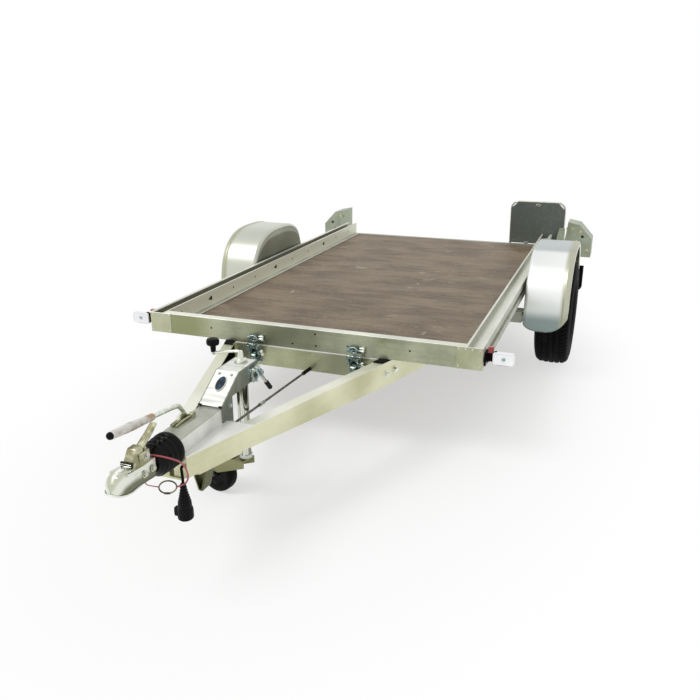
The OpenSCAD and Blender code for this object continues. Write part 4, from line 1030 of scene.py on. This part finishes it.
# %% Jockey wheel
SWIVEL, TRAIL, SMALL_R = math.radians(13.6), 0.165, 0.092  # the fork's turn, its reach, the wheel's radius
trail_way = np.array([-math.cos(SWIVEL), math.sin(SWIVEL), 0])
axle_way = np.array([math.sin(SWIVEL), math.cos(SWIVEL), 0])
jc = np.array([0, JACK, SMALL_R]) + TRAIL * trail_way
tyre_line = [(0.061, -0.019), (0.064, -0.0245), (0.07, -0.025), (0.084, -0.0248), (0.0895, -0.021), (0.0918, -0.013),
             (SMALL_R, 0)]
tyre_line = tyre_line + [(r, -h) for r, h in tyre_line[::-1][1:]]
hub_line = [(0.0085, -0.028), (0.018, -0.028), (0.02, -0.026), (0.021, -0.01), (0.03, -0.008), (0.055, -0.01),
            (0.061, -0.019)]
hub_line = hub_line + [(r, -h) for r, h in hub_line[::-1]]
small_tyre = piece("jockey_tyre", lathe(tyre_line, jc, axle_way, 96), "jockey", rubber)
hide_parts("jockey_wheel")
piece("jockey_hub", lathe(hub_line, jc, axle_way, 72), "jockey", black_plastic)


def in_fork(part):
    """A shape given along the fork, across it and up, turned to the way that the fork points."""
    x, y, z = part[0][:, :1], part[0][:, 1:2], part[0][:, 2:]
    return np.array([0, JACK, 0]) - x * trail_way + y * axle_way + z * np.array([0, 0, 1.0]), part[1]


def prism(outline, y0, y1):
    """A plate between two places across: a six-point outline [x, z] in two quads on each face, and its rim."""
    o = np.array(outline)
    points = np.concatenate([np.insert(o, 1, y, axis=1) for y in (y0, y1)])
    caps = np.array([[6, 7, 8, 11], [8, 9, 10, 11], [5, 2, 1, 0], [5, 4, 3, 2]])
    i = np.arange(6)
    j = (i + 1) % 6
    return points, np.concatenate([caps, np.stack([i, j, j + 6, i + 6], -1)])


bar_line = [(0.014, 0.196), (0.014, 0.166), (-0.135, 0.104), (-0.18, 0.11), (-0.187, 0.14), (-0.034, 0.196)]
leg_line = [(-0.146, 0.13), (-0.152, 0.086), (-0.159, 0.078), (-0.171, 0.078), (-0.178, 0.086), (-0.182, 0.13)]
bar_parts = [slab((-0.034, -0.036, 0.192), (0.014, 0.036, 0.198)), drum(0.017, 0.1975, 0.2057)]
bar_parts += [prism(bar_line, y, y + 0.005) for y in (-0.036, 0.031)]
fork_bar = piece("fork_bar", [in_fork(part) for part in bar_parts], "fork", fork_steel, 0.0008)
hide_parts("jockey_fork")
legs = [in_fork(prism(leg_line, y, y + 0.004)) for y in (-0.0355, 0.0315)]
piece("fork_legs", legs + [drum(0.008, -0.036, 0.036, jc, axle_way, 24)], "fork", black_plastic, 0.0006)
fork_ends = [jc + s * 0.036 * axle_way for s in (-1, 1)]
piece("fork_bolts", stamp(bolt(0.008, 0.008), fork_ends, [-axle_way, axle_way]), "fork", rod_steel)

# %% [markdown]
# Two toggle latches hold the front of the bed down. Each has a sprung loop that catches a hook on the
# beam. Coil springs round the loop's legs, screws and a curled thumb lever finish them.

# %% Toggle latches
def coil(foot, way, radius, wire, turns):
    """A spring: foot + t way + radius (cos, sin) across the way, for t from 0 to 1."""
    across, over, _ = basis(way)
    u = np.linspace(0, 1, 28 * turns)[:, None]
    angle = u * turns * 2 * np.pi
    path = foot + u * np.array(way) + radius * (np.cos(angle) * across + np.sin(angle) * over)
    return sweep(path, circle(wire, 8), way)


def button(r, h):
    """A round knob on a thin neck."""
    return lathe([(0, 0), (0.5 * r, 0), (0.5 * r, 0.5 * h), (r, 0.55 * h), (r, 0.85 * h), (0.7 * r, h), (0, h)], n=24)


springs, tongues, low_screws, top_screws, low_knobs, top_knobs, rings = ([] for _ in range(7))
ribbon = rounded(0.0035, 0.014, 0.4, 72)
tongue_line = ((-0.024, 0.434), (-0.04, 0.42), (-0.038, 0.394), (-0.05, 0.372))
for x0 in (-0.254, 0.262):
    springs += [coil((x0 + dx, FRONT - 0.02, 0.432), (0, -0.024, 0.046), 0.0095, 0.0021, 6) for dx in (-0.024, 0.024)]
    springs.append(coil((x0 - 0.022, FRONT - 0.028, 0.408), (0.044, 0, 0), 0.0085, 0.002, 8))
    tongue_path = spline([(x0, FRONT + y, z) for y, z in tongue_line])
    tongues.append(sweep(tongue_path, ribbon, (0, -1, 0.2)))
    low_screws += [(x0 + dx, FRONT - 0.006, z) for dx in (-0.018, 0.018) for z in (0.388, 0.449)]
    top_screws += [(x0 + dx, FRONT - 0.006, 0.502) for dx in (-0.034, 0.034)]
    low_knobs += [(x0 + 0.026, FRONT - 0.018, 0.428), (x0 + 0.026, FRONT - 0.03, 0.446)]
    top_knobs += [(x0 + 0.023, FRONT - 0.016, 0.502), (x0 + 0.023, FRONT - 0.014, 0.514)]
    hoop = loop((x0 - 0.006, FRONT - 0.021, 0.504), (0.019, 0, 0), (0, -0.004, 0.015))
    rings.append(sweep(hoop, circle(0.0036, 10), BACKWARD, closed=True))
piece("latch_springs", springs, "chassis", latch_zinc)
piece("latch_tongues", tongues, "chassis", latch_zinc)
fasten("latch_screws", bolt(0.0055, 0.006), low_screws, FORWARD, "chassis", blue_zinc)
fasten("latch_knobs", button(0.009, 0.022), low_knobs, RIGHT, "chassis", satin)
wings = [slab((p[0] - 0.012, FRONT - 0.006, 0.486), (p[0] + 0.012, FRONT - 0.0002, 0.518)) for p in top_screws]
piece("hook_wings", wings, "bed", latch_zinc, 0.002)
fasten("hook_screws", bolt(0.006, 0.007), top_screws, FORWARD, "bed", blue_zinc)
piece("hook_rings", rings, "bed", blue_zinc)
fasten("hook_knobs", button(0.008, 0.024), top_knobs, RIGHT, "bed", satin)

# %% [markdown]
# Marker lamps stand out beside the front corners on short rubber arms, so that they give way when they
# are knocked. The white lens faces forward and the red one back. An arm is a rounded section carried
# along a curve with waves for its ribs, and a rubber edge runs round the lens on the arm's side.

# %% Marker lamps
LAMP_X, LAMP_Y, LAMP_Z = 0.934, FRONT + 0.03, 0.525


def lens_outline(half_w, half_h, back):
    """A rounded oblong round the lens, upright and square to the trailer, this far behind its front."""
    x, z = rounded(half_w, half_h).T
    return np.stack([LAMP_X + x, np.full(len(x), LAMP_Y + back), LAMP_Z + z], -1)


m = np.linspace(0, 1, 46)
arm_line = ((0.8585, 0.062, 0.518), (0.872, 0.06, 0.52), (0.888, 0.059, 0.522), (0.906, 0.059, 0.523))
arm_path = spline([(x, FRONT + y, z) for x, y, z in arm_line], 15)
ribbed = 1 + 0.07 * np.sign(np.sin(m * 2 * np.pi * 5)) + 0.25 * np.clip(1 - m / 0.15, 0, 1)
stalk = sweep(arm_path, rounded(0.02, 0.0105, 0.6, 32), scale=ribbed)
base = slab((0.85, FRONT + 0.027, 0.486), (0.859, FRONT + 0.087, 0.546))
rubber_edge = sweep(lens_outline(0.0475, 0.0285, 0.013)[30:76], rounded(0.0075, 0.0035, 0.5, 16), BACKWARD)
arms = piece("lamp_stalks", both(stalk, base, rubber_edge), "bed", rubber, 0.001)
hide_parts("marker_arms")
lens_frame = sweep(lens_outline(0.0445, 0.0255, 0.0005), circle(0.0024, 8), BACKWARD, closed=True)
piece("lens_frames", both(lens_frame), "bed", white_lens)
eye_line = [(0.008, 0), (0.0085, 0.0015), (0.007, 0.0025), (0.005, 0.001), (0, 0.0008)]
piece("lens_eyes", both(lathe(eye_line, (LAMP_X, LAMP_Y, LAMP_Z), FORWARD, 24)), "bed", blue_zinc)
spots = [(0.859, FRONT + y, z) for y, z in ((0.035, 0.494), (0.079, 0.494), (0.079, 0.538))]
fasten("stalk_bolts", bolt(0.005, 0.005), spots, RIGHT, "bed", zinc, twin=True)

# %% [markdown]
# The rear lamps sit in the open backs of their boxes: a black base with amber, red and white lenses
# side by side. Yellow zinc bolts and a punched hole show on each box's front plate, and a bent ear
# stands between the bed and each box.

# %% Rear lamps
TAIL, BOX = 2.328, REAR + 0.202  # the front of the rear lamps, and the boxes' front plates
bases = piece("lamp_bases", both(slab((0.951, TAIL, 0.393), (1.136, TAIL + 0.026, 0.499))), "bed", black_plastic, 0.004)
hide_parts("tail_lamps")
for name, finish, x0, x1 in (("white", white_lens, 0.955, 0.992), ("red", red_lens, 0.994, 1.072),
                             ("amber", amber_lens, 1.074, 1.131)):
    bars = [slab((x0, TAIL + 0.024, 0.4), (x1, TAIL + 0.0415, 0.492))]
    bars += [slab((x0 + 0.004, TAIL + 0.041, z), (x1 - 0.004, TAIL + 0.0435, z + 0.004))
             for z in np.arange(0.406, 0.486, 0.01)]
    piece("rear_lens_" + name, both(*bars), "bed", finish, 0.0018)
spots = [(0.985, BOX, 0.596), (1.046, BOX, 0.576), (0.972, BOX, 0.43), (1.11, BOX, 0.43)]
fasten("box_bolts", bolt(0.007, 0.008), spots, FORWARD, "bed", gold_zinc, twin=True)
fasten("box_holes", hole(0.01), [(1.066, BOX, 0.536)], FORWARD, "bed", hole_shade, twin=True)
ear = taper(0.496, 0.64, *((x, 0.9475, REAR - 0.0665, REAR - 0.0635) for x in (0.878, 0.905)))
piece("bracket_ears", both(ear), "bed", box_steel, 0.001)
spots = [(0.947, y, z) for y, z in ((REAR - 0.06, 0.49), (REAR - 0.02, 0.49), (BOX - 0.03, 0.6))]
fasten("bracket_bolts", bolt(0.007, 0.008), spots, LEFT, "bed", gold_zinc, twin=True)

# %% [markdown]
# The loading flaps turn on a bar behind the bed. Their details are worked out once, lying in a flap's
# own plane, and then turned about the hinge to each flap's rest angle.

# %% Loading flaps
def at_flap(part, side, deg):
    """Turns a shape about the hinge line by an angle in degrees and moves it to that side's flap."""
    c, s = math.cos(math.radians(deg)), math.sin(math.radians(deg))
    return part[0] @ np.array([[1, 0, 0], [0, c, -s], [0, s, c]]).T + [side * 0.727, HINGE, 0.47], part[1]


ring = loop((0, -0.0135, 0.329), (0.016, 0, 0), (0, 0, 0.007))
fittings = [sweep(ring, circle(0.0024, 8), BACKWARD, closed=True)]
fittings += [drum(0.0145, -0.018, 0.018, (x, 0, 0), RIGHT, 32, bore=0.0102) for x in (-0.075, 0.075)]
fittings += [slab((x - 0.016, -0.012, 0.004), (x + 0.016, -0.0085, 0.04)) for x in (-0.075, 0.075)]
for (side, where), deg in zip(SIDES, (-120, 4)):
    turned = [at_flap(part, side, deg) for part in fittings]
    piece("flap_fittings_" + where, turned, "flap_" + where, zinc, 0.0006)

# %% [markdown]
# The brake rod runs from the overrun lever back to a boot on the cross beam. A long nut on it sets the
# brake, and a second, thin one locks the first.

# %% Brake rod
rod_a, rod_b = np.array([0.04, APEX + 0.245, 0.431]), np.array([0.027, FRONT, 0.376])
nuts = [drum(0.0078, d, d + n, rod_a, unit(rod_b - rod_a), 24, six_sided, bore=0.0052)
        for d, n in ((0.3, 0.028), (0.334, 0.006))]
piece("rod_nuts", nuts, "chassis", zinc, 0.0006)

# %% [markdown]
# The floor is a pale sheet that keeps the trailer's shadow close by and turns to plain white further
# out. The world is even and soft, and one wide lamp from the left front models the shapes. Camera,
# glossy and transmission rays see white, so bright steel mirrors the same white room.

# %% Floor and light
FLOOR_HALF, WHITE = 60, (1, 1, 1, 1)
corners = [(x * FLOOR_HALF, y * FLOOR_HALF, 0) for x, y in ((-1, -1), (1, -1), (1, 1), (-1, 1))]
floor_mesh = bpy.data.meshes.new("floor")
floor_mesh.from_pydata(corners, [], [(0, 1, 2, 3)])
floor = bpy.data.objects.new("floor", floor_mesh)
bpy.context.scene.collection.objects.link(floor)
floor_mat, floor_shader, fp = blank("floor_paper", Base_Color=(0.93, 0.93, 0.93, 1), Roughness=0.9)
glow = fp.add("ShaderNodeEmission", {"Color": WHITE, "Strength": 1.0})
place = fp.add("ShaderNodeMapping", {"Vector": fp, "Scale": (1.0, 0.55, 1)})
far = fp.add("ShaderNodeVectorMath", {0: place}, out="Value", operation="LENGTH").step(0.6, 1.8)
paper = Wire(fp.tree, floor_shader.outputs[0])
surface = fp.add("ShaderNodeMixShader", {0: 0.5 + 0.5 * far, 1: paper, 2: glow})
fp.tree.links.new(surface.socket, fp.tree.nodes["Material Output"].inputs["Surface"])
floor_mesh.materials.append(floor_mat)

world = bpy.data.worlds.new("studio")
bpy.context.scene.world = world
world.use_nodes = True
w = Wire(world.node_tree)
rays = world.node_tree.nodes.new("ShaderNodeLightPath")
camera_ray, glossy_ray, clear_ray = (Wire(w.tree, rays.outputs[f"Is {kind} Ray"])
                                     for kind in ("Camera", "Glossy", "Transmission"))
sky, white = (w.add("ShaderNodeBackground", {"Color": WHITE, "Strength": power}) for power in (0.62, 1.0))
seen = (camera_ray + glossy_ray + clear_ray).step(0.0, 1.0)
surface = w.add("ShaderNodeMixShader", {0: seen, 1: sky, 2: white})
w.tree.links.new(surface.socket, w.tree.nodes["World Output"].inputs["Surface"])

sun = bpy.data.lights.new("key", "SUN")
sun.energy, sun.angle = 1.25, math.radians(25)
key = bpy.data.objects.new("key", sun)
turn = np.eye(4)
turn[:3, :3], turn[:3, 3] = np.stack(basis((-0.55, -0.55, 1.0)), 1), (-4, -5, 8)
key.matrix_world = Matrix(turn.tolist())
bpy.context.scene.collection.objects.link(key)
bpy.context.scene.view_settings.view_transform = "Standard"
print("floor and light")
